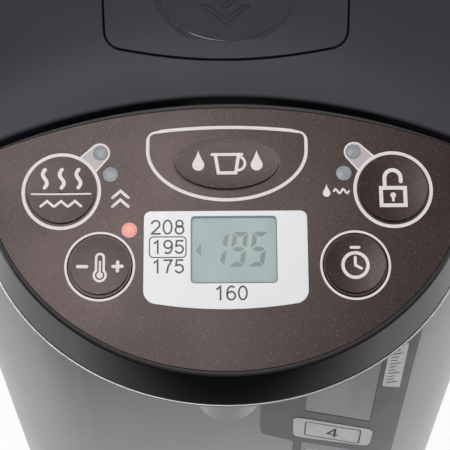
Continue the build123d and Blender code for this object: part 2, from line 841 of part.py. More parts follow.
with BuildPart() as motor_case:
    motor_bottom_z = motor_top_z - motor_height
    ear_reach = motor_radius + 8
    disc(outlet_x, outlet_y, motor_bottom_z, motor_top_z, motor_radius)
    block((outlet_x - ear_reach, outlet_y - 5, motor_top_z - 2),
          (outlet_x + ear_reach, outlet_y + 5, motor_top_z))
    for post_x in (outlet_x - ear_reach, outlet_x + ear_reach - 5):
        block((post_x, outlet_y - 5, motor_top_z), (post_x + 5, outlet_y + 5, chassis_z))
    disc(outlet_x, outlet_y, motor_bottom_z, motor_top_z, motor_shaft_radius + running_gap,
         Mode.SUBTRACT)
export(motor_case.part, "motor_case")

with BuildPart() as motor_rotor:
    magnet_bottom_z = pump_bottom_z - moving_gap - magnet_height
    disc(outlet_x, outlet_y, motor_bottom_z + 2, magnet_bottom_z, motor_shaft_radius)
    disc(outlet_x, outlet_y, magnet_bottom_z, magnet_bottom_z + magnet_height, magnet_radius)
export(motor_rotor.part, "motor_rotor")

# ---------------------------------------------------------------- delivery line and gauge
hose_start_x = outlet_x + pump_radius + 1
with BuildPart() as delivery_hose:
    with BuildLine() as hose_route:
        FilletPolyline((hose_start_x, stub_y, delivery_z), (gauge_x, stub_y, delivery_z),
                       (gauge_x, gauge_y, delivery_z), (gauge_x, gauge_y, gauge_tube_bottom_z),
                       radius=hose_bend)
    with BuildSketch(Plane(origin=(hose_start_x, stub_y, delivery_z), z_dir=(1, 0, 0))):
        Circle(hose_radius)
        Circle(hose_bore, mode=Mode.SUBTRACT)
    sweep()
export(delivery_hose.part, "delivery_hose")

with BuildPart() as gauge_tube:
    disc(gauge_x, gauge_y, gauge_tube_bottom_z, gauge_tube_top_z, gauge_tube_radius)
    disc(gauge_x, gauge_y, gauge_tube_bottom_z, gauge_tube_top_z, gauge_tube_bore,
         Mode.SUBTRACT)
export(gauge_tube.part, "gauge_tube")

with BuildPart() as gauge_seals:
    for low_z in (gauge_tube_bottom_z, gauge_tube_top_z - gauge_seal_height):
        disc(gauge_x, gauge_y, low_z, low_z + gauge_seal_height, gauge_seal_radius)
        disc(gauge_x, gauge_y, low_z, low_z + gauge_seal_height, gauge_tube_radius,
             Mode.SUBTRACT)
export(gauge_seals.part, "gauge_seals")

with BuildPart() as gauge_bezel:
    tapered_body(bezel_bottom_z, sleeve_top_z, -bezel_proud)
    tapered_body(bezel_bottom_z, sleeve_top_z, 0, Mode.SUBTRACT)
    with BuildSketch(Plane.XZ.offset(pot_axis_y)) as bezel_front:
        with BuildLine():
            Polyline((bezel_left_x, sleeve_top_z + 1), (bezel_left_x, bezel_step_z),
                     (bezel_neck_x, bezel_step_z - 7.5), (bezel_neck_x, bezel_bottom_z),
                     (bezel_right_x, bezel_bottom_z), (bezel_right_x, sleeve_top_z + 1),
                     close=True)
        make_face()
        fillet(bezel_front.vertices().group_by(Axis.Z)[0], bezel_corner)
    extrude(bezel_front.sketch, amount=2 * body_half_width, mode=Mode.INTERSECT)
    extrude(gauge_windows(0), amount=2 * body_half_width, mode=Mode.SUBTRACT)
    beak_body(0, beak_depth + seat_gap, -seat_gap, Mode.SUBTRACT)
export(gauge_bezel.part, "gauge_bezel")

with BuildPart() as gauge_lens:
    extrude(gauge_windows(seat_gap), amount=2 * body_half_width)
    tapered_body(lens_bottom_z, lens_top_z, lens_recess - bezel_proud, Mode.INTERSECT)
    tapered_body(lens_bottom_z, lens_top_z, sleeve_wall + lens_flange, Mode.SUBTRACT)
    beak_body(0, beak_depth + seat_gap, -seat_gap, Mode.SUBTRACT)
export(gauge_lens.part, "gauge_lens")

valve_top_z = valve_bottom_z + valve_height
ball_rest_z = (valve_bottom_z + valve_wall
               + sqrt((ball_radius + moving_gap) ** 2 - valve_seat_radius ** 2))
with BuildPart() as valve_cage:
    disc(gauge_x, gauge_y, valve_bottom_z, valve_top_z, valve_radius)
    disc(gauge_x, gauge_y, valve_bottom_z + valve_wall, valve_top_z - valve_wall,
         valve_radius - valve_wall, Mode.SUBTRACT)
    disc(gauge_x, gauge_y, gauge_tube_top_z, valve_bottom_z, gauge_tube_bore)
    disc(gauge_x, gauge_y, gauge_tube_top_z, valve_bottom_z + valve_wall,
         valve_seat_radius, Mode.SUBTRACT)
    disc(gauge_x, gauge_y, valve_top_z - valve_wall, valve_top_z, pipe_bore, Mode.SUBTRACT)
export(valve_cage.part, "valve_cage")

with BuildPart() as valve_ball:
    with Locations((gauge_x, gauge_y, ball_rest_z)):
        Sphere(ball_radius)
export(valve_ball.part, "valve_ball")

# ---------------------------------------------------------------- spout
spout_floor_z = panel_z + (spout_y - panel_y) * panel_tan - beak_depth / panel_cos
pipe_high_z = panel_z + (gauge_y - panel_y) * panel_tan - pipe_depth / panel_cos
pipe_low_z = panel_z + (spout_y - panel_y) * panel_tan - pipe_depth / panel_cos
pipe_end_z = spout_floor_z - 7.5
skirt_top_z = spout_tip_z + spout_skirt_depth

with BuildPart() as spout_pipe:
    with BuildLine() as pipe_route:
        FilletPolyline((gauge_x, gauge_y, valve_top_z), (gauge_x, gauge_y, pipe_high_z),
                       (0, gauge_y, pipe_high_z), (0, spout_y, pipe_low_z),
                       (0, spout_y, pipe_end_z), radius=pipe_bend)
    with BuildSketch(Plane.XY.offset(valve_top_z)):
        with Locations((gauge_x, gauge_y)):
            Circle(pipe_radius)
            Circle(pipe_bore, mode=Mode.SUBTRACT)
    sweep()
export(spout_pipe.part, "spout_pipe")

with BuildPart() as spout_nozzle:
    nozzle_height = sleeve_top_z - spout_tip_z
    with Locations((0, spout_y, spout_tip_z)):
        Cone(spout_radius, spout_top_radius, nozzle_height,
             align=(Align.CENTER, Align.CENTER, Align.MIN))
    with BuildSketch(under_panel(beak_depth)) as above_beak_floor:
        Rectangle(4 * body_half_width, 4 * body_half_width)
    extrude(above_beak_floor.sketch, amount=2 * nozzle_height, mode=Mode.SUBTRACT)
    disc(0, spout_y, spout_tip_z, skirt_top_z, spout_radius - spout_skirt, Mode.SUBTRACT)
    disc(0, spout_y, skirt_top_z, sleeve_top_z, pipe_radius + seat_gap, Mode.SUBTRACT)
    fillet(spout_nozzle.edges().filter_by(GeomType.CIRCLE).group_by(Axis.Z)[0][-1], 0.6)
export(spout_nozzle.part, "spout_nozzle")

# ---------------------------------------------------------------- upper housing
shoulder_front_y = hinge_y - shoulder_radius
shoulder_top_z = hinge_z + shoulder_radius
shoulder_rear_y = pot_axis_y + body_half_width

collar_radius = mouth_radius + mouth_flare + mouth_wall

with BuildPart() as mouth_collar:
    disc(0, pot_axis_y, gasket_top_z, rim_z, collar_radius)
    disc(0, pot_axis_y, gasket_top_z, gasket_top_z + mouth_wall, vessel_outer + vessel_flange)
    disc(0, pot_axis_y, deck_bottom_z - collar_ledge, deck_bottom_z, collar_radius + collar_ledge)
    disc(0, pot_axis_y, gasket_top_z, rim_z, mouth_radius, Mode.SUBTRACT)
    with Locations((0, pot_axis_y, mouth_flare_z)):
        Cone(mouth_radius, mouth_radius + mouth_flare, rim_z - mouth_flare_z,
             align=(Align.CENTER, Align.CENTER, Align.MIN), mode=Mode.SUBTRACT)
    beak_body(0, beak_depth, 0, Mode.SUBTRACT)
export(mouth_collar.part, "mouth_collar")

with BuildPart() as rear_shoulder:
    with BuildSketch(Plane.YZ.offset(-body_half_width)):
        with BuildLine():
            Line((shoulder_front_y, rim_z), (shoulder_front_y, hinge_z))
            CenterArc((hinge_y, hinge_z), shoulder_radius, 180, -90)
            ThreePointArc((hinge_y, shoulder_top_z), (hinge_y + 9, shoulder_top_z - 2.4),
                          (hinge_y + 15, shoulder_top_z - 9))
            Line((hinge_y + 15, shoulder_top_z - 9), (shoulder_rear_y, rim_z))
            Line((shoulder_rear_y, rim_z), (shoulder_front_y, rim_z))
        make_face()
    extrude(amount=2 * body_half_width)
    straight_body(rim_z, shoulder_top_z, housing_inset, Mode.INTERSECT)

with BuildPart() as upper_housing:
    straight_body(sleeve_top_z, rim_z, housing_inset)
    straight_body(sleeve_top_z, sleeve_top_z + housing_flange, 0)
    straight_body(sleeve_top_z, deck_bottom_z, housing_inset + housing_wall, Mode.SUBTRACT)
    tapered_body(sleeve_top_z - 8, sleeve_top_z, sleeve_wall + seat_gap)
    tapered_body(sleeve_top_z - 8, sleeve_top_z, sleeve_wall + seat_gap + lip_wall,
                 Mode.SUBTRACT)
    disc(0, pot_axis_y, sleeve_top_z, rim_z, collar_radius + seat_gap, Mode.SUBTRACT)
    wall_x = body_half_width - housing_inset
    for side_x in (-wall_x, wall_x - 2 * handle_pin_radius):
        cross_rod(side_x, side_x + 2 * handle_pin_radius, handle_pivot_y, handle_pivot_z,
                  2 * handle_pin_radius)
    add(rear_shoulder.part)
    for side in (-1, 1):
        slot_half = knuckle_width / 2 + moving_gap
        block((side * knuckle_x - slot_half, shoulder_front_y - 1, hinge_z - knuckle_radius - 1),
              (side * knuckle_x + slot_half, hinge_y + knuckle_radius + 1.2, shoulder_top_z + 1),
              Mode.SUBTRACT)
    cross_rod(-hinge_pin_half_length, hinge_pin_half_length, hinge_y, hinge_z,
              hinge_pin_radius, Mode.SUBTRACT)
    cross_rod(-body_half_width, body_half_width, handle_pivot_y, handle_pivot_z,
              handle_pin_radius, Mode.SUBTRACT)
    with BuildSketch(panel_plane) as above_panel:
        Rectangle(6 * body_half_width, 6 * body_half_width)
    extrude(above_panel.sketch, amount=2 * body_half_width, mode=Mode.SUBTRACT)
    beak_body(0, beak_depth, 0, Mode.SUBTRACT)
export(upper_housing.part, "upper_housing")

with BuildPart() as lid_hinge_pin:
    cross_rod(-hinge_pin_half_length, hinge_pin_half_length, hinge_y, hinge_z,
              hinge_pin_radius)
export(lid_hinge_pin.part, "lid_hinge_pin")

# ---------------------------------------------------------------- beak and control panel
board_posts = ((-60.0, -3.0), (60.0, -3.0), (0.0, -29.5), (-33.0, 30.5), (33.0, 30.5))

with BuildPart() as front_cover:
    beak_body(0, beak_depth, 0)
    panel_axis = Axis(panel_plane.origin, panel_plane.z_dir)
    fillet(front_cover.faces().sort_by(panel_axis)[-1].edges().sort_by(Axis.Y)[0],
           beak_rim_fillet)
    fillet(front_cover.faces().sort_by(panel_axis)[-1].edges().sort_by(Axis.Y)[-1],
           beak_rear_fillet)
    beak_body(key_base_depth, beak_depth, beak_wall, Mode.SUBTRACT)
    extrude(sheet_section(sheet_thickness), amount=sheet_thickness, mode=Mode.SUBTRACT)
    with BuildSketch(under_panel(board_depth)):
        with Locations(*board_posts):
            Circle(2.4)
    extrude(amount=board_depth - key_base_depth)
    with BuildSketch(under_panel(board_depth)):
        with Locations(*board_posts):
            Circle(1.0)
    extrude(amount=board_depth - key_base_depth, mode=Mode.SUBTRACT)
    cut_openings(sheet_thickness, key_base_depth, key_gap)
    extrude(window_section(key_base_depth, window_ledge), amount=beak_top_wall,
            mode=Mode.SUBTRACT)
export(front_cover.part, "front_cover")

with BuildPart() as beak_underside:
    beak_body(beak_depth - 2, beak_depth, beak_wall + seat_gap)
    tapered_body(spout_tip_z, rim_z, 0, Mode.SUBTRACT)
    disc(0, spout_y, spout_tip_z, rim_z, pipe_radius + pipe_hole_gap, Mode.SUBTRACT)
export(beak_underside.part, "beak_underside")

with BuildPart() as panel_sheet:
    extrude(sheet_section(sheet_thickness), amount=sheet_thickness)
    cut_openings(0, sheet_thickness, key_gap)
    extrude(plate_section(sheet_thickness), amount=sheet_thickness, mode=Mode.SUBTRACT)
export(panel_sheet.part, "panel_sheet")

with BuildPart() as lcd_plate:
    extrude(plate_section(sheet_thickness), amount=sheet_thickness + plate_proud)
    extrude(window_section(sheet_thickness, 0), amount=sheet_thickness + plate_proud,
            mode=Mode.SUBTRACT)
export(lcd_plate.part, "lcd_plate")

with BuildPart() as lcd_window:
    extrude(window_section(sheet_thickness, 0), amount=sheet_thickness - window_recess)
export(lcd_window.part, "lcd_window")

with BuildPart() as lcd_module:
    extrude(window_section(key_base_depth + module_depth, -module_margin), amount=module_depth)
export(lcd_module.part, "lcd_module")

with BuildPart() as display_board:
    board_centre_v = panel_corner_v - board_depth * panel_tan
    with BuildSketch(under_panel(board_depth + board_thickness)):
        with BuildLine():
            EllipticalCenterArc((0, board_centre_v), board_half_width, board_reach,
                                180, arc_size=180)
            ThreePointArc((board_half_width, board_centre_v), (0, board_rear_v),
                          (-board_half_width, board_centre_v))
        make_face()
        with Locations(*board_posts):
            Circle(1.0, mode=Mode.SUBTRACT)
    extrude(amount=board_thickness)
export(display_board.part, "display_board")

with BuildPart() as board_screws:
    with BuildSketch(under_panel(board_depth + board_thickness)):
        with Locations(*board_posts):
            Circle(1.0)
    extrude(amount=board_thickness + 4)
    with BuildSketch(under_panel(board_depth + board_thickness + 1.0)):
        with Locations(*board_posts):
            Circle(2.0)
    extrude(amount=1.0)
export(board_screws.part, "board_screws")

key_places = [(across, up_slope) for across, up_slope, radius in round_keys.values()]
key_places.append((0.0, dispense_dish_v))

with BuildPart() as key_switches:
    with BuildSketch(under_panel(board_depth)):
        with Locations(*key_places):
            Rectangle(switch_size, switch_size)
    extrude(amount=switch_height)
    with BuildSketch(under_panel(board_depth - switch_height)):
        with Locations(*key_places):
            Circle(plunger_radius)
    extrude(amount=plunger_height)
export(key_switches.part, "key_switches")

with BuildPart() as lamp_lenses:
    with BuildSketch(under_panel(board_depth)):
        for across, up_slope, radius in lamps:
            with Locations((across, up_slope)):
                Circle(radius)
    extrude(amount=board_depth + seat_gap)
export(lamp_lenses.part, "lamp_lenses")

key_flange_low = key_base_depth + 0.3 + key_flange_thickness
key_stem_low = board_depth - switch_height - plunger_height - key_travel - 0.1


def key_stem(across, up_slope):
    """Stem below a key, down to its switch."""
    with BuildSketch(under_panel(key_stem_low)) as section:
        with Locations((across, up_slope)):
            Circle(key_stem_radius)
    extrude(section.sketch, amount=key_stem_low - key_flange_low)


def crease_section(across, up_slope, half_width, half_height):
    """Crescent along the lower side of a key's dish."""
    with BuildSketch(under_panel(crease_depth)) as section:
        with Locations((across, up_slope)):
            Ellipse(half_width, half_height)
        with Locations((across, up_slope + crease_width)):
            Ellipse(half_width, half_height, mode=Mode.SUBTRACT)
    return section.sketch


for key_name, (across, up_slope, ring) in round_keys.items():
    cap_radius = ring - key_ring_inset
    dish_radius = cap_radius - key_dish_margin
    crease_radius = dish_radius - crease_inset
    ball = (dish_radius ** 2 + key_dish_depth ** 2) / (2 * key_dish_depth)
    with BuildPart() as round_key:
        with BuildSketch(under_panel(key_flange_low)):
            with Locations((across, up_slope)):
                Circle(cap_radius)
        extrude(amount=key_flange_low + key_proud)
        with BuildSketch(under_panel(key_flange_low)):
            with Locations((across, up_slope)):
                Circle(cap_radius + key_flange)
        extrude(amount=key_flange_thickness)
        key_stem(across, up_slope)
        with Locations(panel_plane * Pos(across, up_slope, key_proud + ball - key_dish_depth)):
            Sphere(ball, mode=Mode.SUBTRACT)
        extrude(crease_section(across, up_slope, crease_radius, crease_radius),
                amount=crease_depth + 2, mode=Mode.SUBTRACT)
    export(round_key.part, key_name)

with BuildPart() as dispense_key:
    extrude(dispense_section(key_flange_low, key_ring_inset),
            amount=key_flange_low + key_proud)
    extrude(dispense_section(key_flange_low, key_ring_inset - key_flange),
            amount=key_flange_thickness)
    key_stem(0, dispense_dish_v)
    dish = scale(Sphere(1, mode=Mode.PRIVATE), by=dispense_dish_axes, mode=Mode.PRIVATE)
    dish_rise = key_proud + dispense_dish_axes[2] - dispense_dish_depth
    add(panel_plane * Pos(0, dispense_dish_v, dish_rise) * dish, mode=Mode.SUBTRACT)
    extrude(crease_section(0, dispense_dish_v, *dispense_crease_axes),
            amount=crease_depth + 2, mode=Mode.SUBTRACT)
export(dispense_key.part, "dispense_key")

# ---------------------------------------------------------------- lid
with BuildPart() as lid_cavity:
    lid_column(lid_wall, lid_bottom_z - 1, lid_high_z)
    lid_crown(lid_wall, Mode.INTERSECT)

with BuildPart() as lid_cover:
    lid_column(0, lid_bottom_z, lid_high_z)
    lid_crown(0, Mode.INTERSECT)
    fillet(lid_cover.faces().sort_by(Axis.Z)[-1].edges(), lid_edge_fillet)
    add(lid_cavity.part, mode=Mode.SUBTRACT)
    lever_column(lever_gap, lid_bottom_z + lid_base_thickness, lid_high_z, Mode.SUBTRACT)
    disc(0, vent_y, lid_bottom_z, lid_high_z, vent_radius + seat_gap, Mode.SUBTRACT)
    for side in (-1, 1):
        lug_x = side * carrier_lug_x - carrier_lug_width / 2
        block((lug_x, lever_pin_y - lever_lug_radius, lever_pin_z - lever_lug_radius),
              (lug_x + carrier_lug_width, lever_pin_y + lever_lug_radius,
               lever_pin_z + carrier_lug_rise))
        cross_rod(lug_x, lug_x + carrier_lug_width, lever_pin_y, lever_pin_z,
                  lever_pin_radius + running_gap, Mode.SUBTRACT)
        arm_x = side * knuckle_x - knuckle_width / 2
        block((arm_x - seat_gap, lid_rear_y - 2 * lid_wall, lid_bottom_z),
              (arm_x + knuckle_width + seat_gap, hinge_y, hinge_z + seat_gap), Mode.SUBTRACT)
    block((-latch_half_width - moving_gap, lid_front_y - 2, latch_bottom_z - moving_gap),
          (latch_half_width + moving_gap, lid_front_y + lid_wall + 2,
           latch_bottom_z + latch_height + moving_gap), Mode.SUBTRACT)
export(lid_cover.part, "lid_cover")

with BuildPart() as lid_base:
    lid_column(lid_wall + seat_gap, lid_bottom_z, lid_bottom_z + lid_base_thickness)
    lid_crown(lid_wall + seat_gap, Mode.INTERSECT)
    disc(0, pot_axis_y, plug_bottom_z, lid_bottom_z, plug_radius)
    disc(0, pot_axis_y, plug_bottom_z, lid_bottom_z, plug_radius - 4, Mode.SUBTRACT)
    for side in (-1, 1):
        low_x = side * knuckle_x - knuckle_width / 2
        cross_rod(low_x, low_x + knuckle_width, hinge_y, hinge_z, knuckle_radius)
        block((low_x, lid_rear_y - lid_wall - 6, hinge_z - knuckle_radius),
              (low_x + knuckle_width, hinge_y, hinge_z))
        cross_rod(low_x, low_x + knuckle_width, hinge_y, hinge_z,
                  hinge_pin_radius + running_gap, Mode.SUBTRACT)
    disc(0, vent_y, plug_bottom_z, lid_high_z, vent_duct_radius + seat_gap, Mode.SUBTRACT)
    rail_top_z = latch_bottom_z + latch_height
    for rail_x in (-latch_half_width - moving_gap - rail_width, latch_half_width + moving_gap):
        block((rail_x, lid_front_y + rail_front, lid_bottom_z),
              (rail_x + rail_width, lid_front_y + rail_rear, rail_top_z))
export(lid_base.part, "lid_base")

with BuildPart() as inner_lid:
    inner_lid_floor_z = inner_lid_z + inner_lid_wall
    disc(0, pot_axis_y, inner_lid_z, inner_lid_z + inner_lid_height, inner_lid_radius)
    disc(0, pot_axis_y, inner_lid_floor_z, inner_lid_z + inner_lid_height,
         inner_lid_radius - inner_lid_wall, Mode.SUBTRACT)
    with Locations((0, vent_y, inner_lid_z)):
        with GridLocations(4, 4, 3, 3):
            Cylinder(1.2, 4 * inner_lid_wall, mode=Mode.SUBTRACT)
export(inner_lid.part, "inner_lid")

with BuildPart() as lid_gasket:
    disc(0, pot_axis_y, lid_gasket_z, lid_gasket_z + lid_gasket_height, lid_gasket_radius)
    disc(0, pot_axis_y, lid_gasket_z, lid_gasket_z + lid_gasket_height, inner_lid_radius,
         Mode.SUBTRACT)
export(lid_gasket.part, "lid_gasket")

with BuildPart() as below_vent_cap:
    disc(0, vent_y, lid_bottom_z, lid_high_z, vent_radius + 1)
    lid_crown(vent_cap_thickness, Mode.INTERSECT)

with BuildPart() as vent_duct:
    disc(0, vent_y, inner_lid_floor_z, lid_high_z, vent_duct_radius)
    lid_crown(vent_cap_thickness / 2, Mode.INTERSECT)

with BuildPart() as vent_bore:
    disc(0, vent_y, inner_lid_floor_z, lid_high_z, vent_duct_radius - vent_duct_wall)
    lid_crown(vent_cap_thickness, Mode.INTERSECT)

with BuildPart() as steam_vent:
    disc(0, vent_y, lid_bottom_z + 1, lid_high_z, vent_radius)
    lid_crown(0, Mode.INTERSECT)
    add(below_vent_cap.part, mode=Mode.SUBTRACT)
    add(vent_duct.part)
    add(vent_bore.part, mode=Mode.SUBTRACT)
    with BuildSketch(Plane.XY.offset(lid_bottom_z)):
        with Locations((0, vent_y)):
            with GridLocations(2 * vent_slot_width, 0, vent_slot_count, 1):
                SlotOverall(vent_slot_length, vent_slot_width, rotation=90)
    extrude(amount=lid_high_z - lid_bottom_z, mode=Mode.SUBTRACT)
export(steam_vent.part, "steam_vent")

with BuildPart() as below_lever:
    lever_column(1, lid_bottom_z, lid_high_z)
    lid_crown(lever_thickness, Mode.INTERSECT)

dent_normal = Vector(0, -sin(radians(lever_dent_tilt)), cos(radians(lever_dent_tilt)))
lever_dents = []
for inset, rise in ((0, lever_dent_step), (lever_dent_step_width, 0)):
    dent_floor = Vector(0, lever_dent_y, lever_dent_z) + dent_normal * rise
    with BuildPart() as lever_dent:
        with BuildSketch(Plane.XY.offset(lid_bottom_z)):
            with Locations((0, lever_dent_y)):
                Ellipse(lever_dent_half_width - inset, lever_dent_half_length - inset)
        extrude(amount=lid_high_z - lid_bottom_z)
        with BuildSketch(Plane(origin=dent_floor, x_dir=(1, 0, 0),
                               z_dir=dent_normal)) as below_dent:
            Rectangle(2 * body_half_width, 2 * body_half_width)
        extrude(below_dent.sketch, amount=-body_half_width, mode=Mode.SUBTRACT)
    lever_dents.append(lever_dent.part)

with BuildPart() as lid_lever:
    lever_column(0, lid_bottom_z + 1, lid_high_z)
    lid_crown(0, Mode.INTERSECT)
    add(below_lever.part, mode=Mode.SUBTRACT)
    for dent in lever_dents:
        add(dent, mode=Mode.SUBTRACT)
    for side in (-1, 1):
        lug_x = side * lever_lug_x - lever_lug_width / 2
        cross_rod(lug_x, lug_x + lever_lug_width, lever_pin_y, lever_pin_z, lever_lug_radius)
        block((lug_x, lever_pin_y - lever_lug_radius, lever_pin_z),
              (lug_x + lever_lug_width, lever_pin_y + lever_lug_radius,
               lever_pin_z + lever_lug_radius))
    for low_x in (-carrier_lug_x - carrier_lug_width / 2, lever_lug_x):
        cross_rod(low_x, low_x + carrier_lug_x + carrier_lug_width / 2 - lever_lug_x,
                  lever_pin_y, lever_pin_z, lever_pin_radius)
export(lid_lever.part, "lid_lever")

with BuildPart() as lid_latch:
    nose_y = panel_y + beak_rear_v * panel_cos + latch_nose_gap
    block((-latch_half_width, nose_y, latch_bottom_z),
          (latch_half_width, nose_y + latch_length, latch_bottom_z + latch_height))
    block((-latch_half_width + 3, nose_y + 12, latch_bottom_z + 1.5),
          (latch_half_width - 3, nose_y + latch_length - 4, latch_bottom_z + latch_height),
          Mode.SUBTRACT)
    chamfer(lid_latch.edges().group_by(Axis.Y)[0].filter_by(Axis.X).sort_by(Axis.Z)[0], 1.5)
export(lid_latch.part, "lid_latch")

# ---------------------------------------------------------------- carry handle
with BuildPart() as carry_handle:
    with BuildSketch(Plane.XY.offset(handle_bottom_z)):
        with BuildLine():
            CenterArc((0, handle_arc_y), body_half_width, 0, 180)
            Line((-body_half_width, handle_arc_y), (-body_half_width, handle_pivot_y))
            Line((-body_half_width, handle_pivot_y), (-handle_inner, handle_pivot_y))
            Line((-handle_inner, handle_pivot_y), (-handle_inner, handle_arc_y))
            CenterArc((0, handle_arc_y), handle_inner, 0, 180)
            Line((handle_inner, handle_arc_y), (handle_inner, handle_pivot_y))
            Line((handle_inner, handle_pivot_y), (body_half_width, handle_pivot_y))
            Line((body_half_width, handle_pivot_y), (body_half_width, handle_arc_y))
        make_face()
    extrude(amount=handle_height)
    grip_start = 90 - grip_half_angle
    grip_inner = body_half_width - grip_thickness
    with BuildSketch(Plane.XY.offset(handle_bottom_z)) as grip:
        with BuildLine():
            CenterArc((0, handle_arc_y), body_half_width, grip_start, 2 * grip_half_angle)
            PolarLine((0, handle_arc_y), body_half_width, grip_start)
            PolarLine((0, handle_arc_y), body_half_width, grip_start + 2 * grip_half_angle)
        make_face()
        with Locations((0, handle_arc_y)):
            Circle(grip_inner, mode=Mode.SUBTRACT)
    extrude(amount=handle_height + grip_rise)
    for low_x in (-body_half_width, handle_inner):
        cross_rod(low_x, low_x + handle_thickness, handle_pivot_y, handle_pivot_z,
                  handle_height / 2)
    cross_rod(-body_half_width, body_half_width, handle_pivot_y, handle_pivot_z,
              handle_pin_radius + running_gap, Mode.SUBTRACT)
    for low_x in (-body_half_width, body_half_width - handle_pin_head_depth):
        cross_rod(low_x, low_x + handle_pin_head_depth, handle_pivot_y, handle_pivot_z,
                  handle_pin_head + moving_gap, Mode.SUBTRACT)
    fillet(carry_handle.edges().filter_by(lambda edge: edge.length > body_half_width / 2),
           handle_edge_fillet)
export(carry_handle.part, "carry_handle")

with BuildPart() as handle_pivots:
    pin_start_x = wall_x - 2 * handle_pin_radius
    pin_end_x = body_half_width - 0.2
    head_x = body_half_width - handle_pin_head_depth + 0.2
    cross_rod(pin_start_x, pin_end_x, handle_pivot_y, handle_pivot_z, handle_pin_radius)
    cross_rod(-pin_end_x, -pin_start_x, handle_pivot_y, handle_pivot_z, handle_pin_radius)
    cross_rod(head_x, pin_end_x, handle_pivot_y, handle_pivot_z, handle_pin_head)
    cross_rod(-pin_end_x, -head_x, handle_pivot_y, handle_pivot_z, handle_pin_head)
export(handle_pivots.part, "handle_pivots")

# ---------------------------------------------------------------- power supply
with BuildPart() as power_board:
    board_top_z = power_board_z + board_thickness
    block((-board_length / 2, power_board_y - board_width / 2, power_board_z),
          (board_length / 2, power_board_y + board_width / 2, board_top_z))
    for part_x, length, width, height in power_parts:
        block((part_x - length / 2, power_board_y - width / 2, board_top_z),
              (part_x + length / 2, power_board_y + width / 2, board_top_z + height))
export(power_board.part, "power_board")

receptacle_low_z = receptacle_z - receptacle_height / 2
receptacle_high_z = receptacle_z + receptacle_height / 2
with BuildPart() as plug_receptacle:
    tapered_body(receptacle_low_z, receptacle_high_z, 0)
    tapered_body(receptacle_low_z, receptacle_high_z, receptacle_depth, Mode.SUBTRACT)
    block((-receptacle_width / 2, 2 * pot_axis_y, receptacle_low_z),
          (receptacle_width / 2, 2 * body_half_width, receptacle_high_z), Mode.INTERSECT)
    block((-pocket_width / 2, pocket_floor_y, receptacle_z - pocket_height / 2),
          (pocket_width / 2, 2 * body_half_width, receptacle_z + pocket_height / 2),
          Mode.SUBTRACT)
    with BuildSketch(Plane.XZ.offset(-pocket_floor_y)):
        with Locations((-pin_spacing / 2, receptacle_z), (pin_spacing / 2, receptacle_z)):
            Circle(pin_radius)
    extrude(amount=receptacle_depth, mode=Mode.SUBTRACT)
export(plug_receptacle.part, "plug_receptacle")

with BuildPart() as receptacle_pins:
    with BuildSketch(Plane.XZ.offset(-pocket_floor_y - pin_reach)):
        with Locations((-pin_spacing / 2, receptacle_z), (pin_spacing / 2, receptacle_z)):
            Circle(pin_radius)
    extrude(amount=pin_reach + pin_tail)
export(receptacle_pins.part, "receptacle_pins")
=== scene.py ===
"""Looks of the electric thermo pot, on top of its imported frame.

Metres, +Z up, the front faces -Y. Places and sizes in the tables are millimetres; the control
panel's are (across, up the slope) on its own plane.
"""
from math import cos, degrees, pi, radians, sin, tan

import bpy
from mathutils import Matrix, Vector
from mathutils.bvhtree import BVHTree


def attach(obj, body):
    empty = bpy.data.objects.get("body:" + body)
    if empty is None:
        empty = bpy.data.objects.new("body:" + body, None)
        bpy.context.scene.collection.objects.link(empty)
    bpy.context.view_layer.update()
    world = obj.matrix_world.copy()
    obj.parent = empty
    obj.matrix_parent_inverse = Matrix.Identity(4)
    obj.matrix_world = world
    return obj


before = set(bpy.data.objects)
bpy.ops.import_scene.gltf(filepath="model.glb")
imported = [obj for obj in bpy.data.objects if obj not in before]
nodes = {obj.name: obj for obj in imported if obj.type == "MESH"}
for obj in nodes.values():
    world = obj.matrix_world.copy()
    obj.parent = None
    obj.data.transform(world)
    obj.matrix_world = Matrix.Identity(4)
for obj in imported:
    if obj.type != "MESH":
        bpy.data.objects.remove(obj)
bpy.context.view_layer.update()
scene = bpy.context.scene
MM = 0.001

# ---------------------------------------------------------------- camera
view_down = radians(51.5)
roll = radians(-0.35)
camera_place = Vector((-0.79, -322.22, 587.07)) * MM
forward = Vector((0, cos(view_down), -sin(view_down)))
level = Vector((1, 0, 0))
steep = level.cross(forward)
right = level * cos(roll) + steep * sin(roll)
upward = steep * cos(roll) - level * sin(roll)
camera_data = bpy.data.cameras.new("camera")
camera_data.sensor_width = 36.0
camera_data.lens = 89.6
camera_data.clip_start = 0.01
camera = bpy.data.objects.new("camera", camera_data)
camera.matrix_world = (Matrix.Translation(camera_place)
                       @ Matrix((right, upward, -forward)).transposed().to_4x4())
scene.collection.objects.link(camera)
scene.camera = camera
scene.view_settings.view_transform = "Standard"


# ---------------------------------------------------------------- light, world and floor
def softbox(name, place, target, size, radiance):
    """Rectangular lamp that shines from place to target with that brightness of its face."""
    data = bpy.data.lights.new(name, "AREA")
    data.shape = "RECTANGLE"
    data.size, data.size_y = size
    data.energy = radiance * pi * size[0] * size[1]
    lamp = bpy.data.objects.new(name, data)
    way = Vector(target) - Vector(place)
    lamp.matrix_world = (Matrix.Translation(place)
                         @ way.to_track_quat("-Z", "Y").to_matrix().to_4x4())
    scene.collection.objects.link(lamp)


softbox("key_light", (-0.13, -0.29, 1.30), (0, -0.05, 0.28), (0.42, 0.42), 8.6)
softbox("fill_light", (0.95, -0.45, 0.95), (0, -0.05, 0.25), (0.7, 0.7), 0.25)
for name, side in (("left_strip", -1), ("right_strip", 1)):
    softbox(name, (1.1 * side, -0.35, 0.30), (0, -0.05, 0.15), (0.35, 1.1), 2.8)


